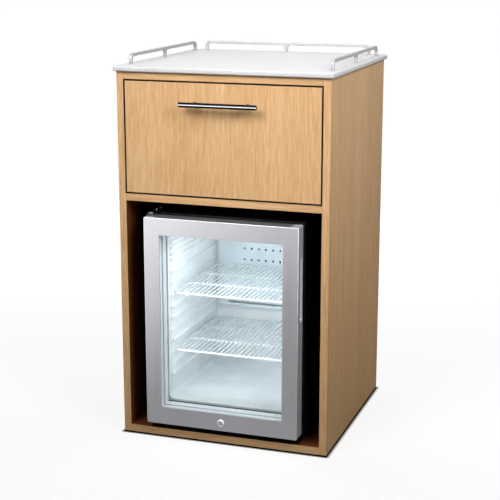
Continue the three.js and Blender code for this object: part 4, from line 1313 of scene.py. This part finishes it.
class MINIBAR_OT_screws(bpy.types.Operator):
    """Screws in the hinge plates, the case's back and the drawer's inner front"""

    bl_idname = "minibar.screws"
    bl_label = "Screws"

    def execute(self, context):
        lift = sizes().screw_head * HEAD_RISE / 2
        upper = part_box("upper_hinge_plate")[1].z + lift
        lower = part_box("lower_hinge_plate")[0].z - lift
        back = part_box("case_back")[1].y + lift
        inner_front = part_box("drawer_inner_front")[1].y + lift
        up, down, rearward, hinge_x = (0, 0, 1), (0, 0, -1), (0, 1, 0), -0.182
        spots = []
        for y in (-0.2, -0.178):
            spots += [((hinge_x, y, upper), up), ((hinge_x, y, lower), down)]
        spots += [((x, back, z), rearward) for x in (-0.178, 0.178) for z in (0.05, 0.295, 0.54)]
        screws("fixed_screws", "cabinet", spots)
        spots = [((x, inner_front, z), rearward) for x in (-0.16, 0.16) for z in (0.69, 0.79)]
        screws("drawer_screws", "drawer", spots)
        return {"FINISHED"}


def softbox(name, place, aim, size, energy, spread):
    """A soft area light with a grid that narrows its spread, which is in degrees."""
    lamp = bpy.data.lights.new(name, "AREA")
    lamp.shape = "RECTANGLE"
    lamp.size, lamp.size_y = size
    lamp.energy = energy
    lamp.spread = math.radians(spread)
    box = bpy.data.objects.new(name, lamp)
    box.location = place
    box.rotation_euler = (Vector(aim) - Vector(place)).to_track_quat("-Z", "Y").to_euler()
    box.visible_camera = False
    box.visible_transmission = False
    bpy.context.scene.collection.objects.link(box)


# Each light's place, the point it faces, its width and height, and its spread in degrees
LIGHTS = {
    "key": ((-0.5, -1.5, 1.85), (-0.05, -0.25, 0.9), (1.1, 1.1), 55),
    "side": ((1.5, -1.1, 1.85), (0.26, 0, 0.85), (1.1, 1.1), 72),
    "top": ((0.0, 0.5, 2.4), (0, 0.2, 0.9), (0.9, 0.9), 180),
    "rear": ((-1.1, 2.3, 0.55), (0, 0.25, 0.5), (1.2, 0.7), 180),
    "inside": ((0, -0.216, 0.33), (0, 0, 0.33), (0.28, 0.36), 140),
    "lamp": ((0.03, -0.19, 0.518), (0.03, -0.1, 0.06), (0.14, 0.03), 180),
}


class MINIBAR_OT_stage(bpy.types.Operator):
    """Floor, soft light, pale surroundings and the camera"""

    bl_idname = "minibar.stage"
    bl_label = "Stage"

    def execute(self, context):
        stage = context.scene.minibar_stage
        context.scene.view_settings.view_transform = "Standard"
        self.floor()
        self.surroundings(context.scene, stage.ambient)
        for name, (place, aim, size, spread) in LIGHTS.items():
            softbox(f"{name}_light", place, aim, size, getattr(stage, f"{name}_power"), spread)
        camera = bpy.data.objects.new("camera", bpy.data.cameras.new("camera"))
        camera.location = stage.camera_place
        camera.rotation_euler = stage.camera_turn
        camera.data.sensor_width = 36
        camera.data.lens = stage.camera_lens
        context.scene.collection.objects.link(camera)
        context.scene.camera = camera
        return {"FINISHED"}

    def floor(self):
        """A white floor that keeps the shadow, with a painted dark line under the carcass and patches that
        glow only for glossy rays, painting soft reflections on the steel.
        """
        form = bmesh.new()
        bmesh.ops.create_grid(form, x_segments=1, y_segments=1, size=40)
        floor = standing("floor", form)
        ground = Surface("Pale floor")
        low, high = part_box("left_side_panel")[0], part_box("right_side_panel")[1]
        outside = ground.place.apart((low + high) / 2).vectors("SUBTRACT", (high - low) / 2)
        distance = outside.vectors("MAXIMUM").length()
        # painted shadow: the floor turns black and stops glowing under the carcass and for a few
        # millimetres round it
        painted_shadow_fade = distance.ranged(0.003, 0.01)
        away = painted_shadow_fade * distance.ranged(0.1, 1.9, 0.85, 1.0)
        x, y, _ = ground.place.split()
        # painted reflections: floor patches to the left, to the right and far behind glow only for glossy
        # rays, brightening the reflections in the steel
        leftward = x.ranged(-0.4, -1.6, 0.3, 5.5) * y.ranged(-0.3, -2.0, 0.9, 0.45)
        rightward = x.ranged(1.3, 2.2, 0.0, 7.0)
        ahead = leftward.peak(rightward) * y.ranged(0.0, -0.3)
        behind = y.ranged(0.5, 6.0, 0.0, 0.7)
        rays = light_rays(ground.tree)
        white = away * rays["Is Camera Ray"].peak(rays["Is Transmission Ray"])
        ground.feed(
            base_color=painted_shadow_fade.mixed((0, 0, 0, 1), colour("floor")), specular_ior_level=0.0,
            roughness=ground.place.noise(260, 3).ranged(0, 1, 0.7, 0.9), emission_color=(1, 1, 1, 1),
            emission_strength=white + rays["Is Glossy Ray"] * ahead.peak(behind),
        )
        floor.data.materials.append(ground.material)

    def surroundings(self, scene, ambient):
        world = bpy.data.worlds.new("Pale surroundings")
        world.use_nodes = True
        tree = world.node_tree
        tree.nodes.clear()
        rays = light_rays(tree)
        mirrored = rays["Is Glossy Ray"].peak(rays["Is Transmission Ray"])
        strength = rays["Is Camera Ray"].peak(mirrored).ranged(0, 1, ambient, 1.0)
        sky = output(tree, "ShaderNodeBackground", {"Color": (1, 1, 1, 1), "Strength": strength})
        put(tree, "ShaderNodeOutputWorld", {"Surface": sky})
        scene.world = world


PIECES = (
    MINIBAR_OT_carcass, MINIBAR_OT_worktop, MINIBAR_OT_rails, MINIBAR_OT_drawer, MINIBAR_OT_handle,
    MINIBAR_OT_slides, MINIBAR_OT_case, MINIBAR_OT_inside, MINIBAR_OT_shelves, MINIBAR_OT_cooling,
    MINIBAR_OT_hinges, MINIBAR_OT_door, MINIBAR_OT_lock, MINIBAR_OT_screws, MINIBAR_OT_stage,
)


class MINIBAR_PT_panel(bpy.types.Panel):
    """Buttons for the pieces, and their sizes and colours"""

    bl_idname = "MINIBAR_PT_panel"
    bl_label = "Minibar cabinet"
    bl_space_type = "VIEW_3D"
    bl_region_type = "UI"
    bl_category = "Minibar"

    def draw(self, context):
        for operator in PIECES:
            self.layout.operator(operator.bl_idname)
        for setting in SETTINGS:
            group, box = getattr(context.scene, setting), self.layout.box()
            for name in group.bl_rna.properties.keys():
                if name not in {"rna_type", "name"}:
                    box.prop(group, name)


SETTINGS = {"minibar_sizes": MinibarSizes, "minibar_colours": MinibarColours, "minibar_stage": MinibarStage}
CLASSES = (*SETTINGS.values(), *PIECES, MINIBAR_PT_panel)


def register():
    for item in CLASSES:
        bpy.utils.register_class(item)
    for setting, group in SETTINGS.items():
        setattr(bpy.types.Scene, setting, PointerProperty(type=group))


def unregister():
    for setting in SETTINGS:
        delattr(bpy.types.Scene, setting)
    for item in reversed(CLASSES):
        bpy.utils.unregister_class(item)


def main():
    register()
    for operator in PIECES:
        getattr(bpy.ops.minibar, operator.bl_idname.split(".")[1])()


if __name__ == "__main__":
    main()
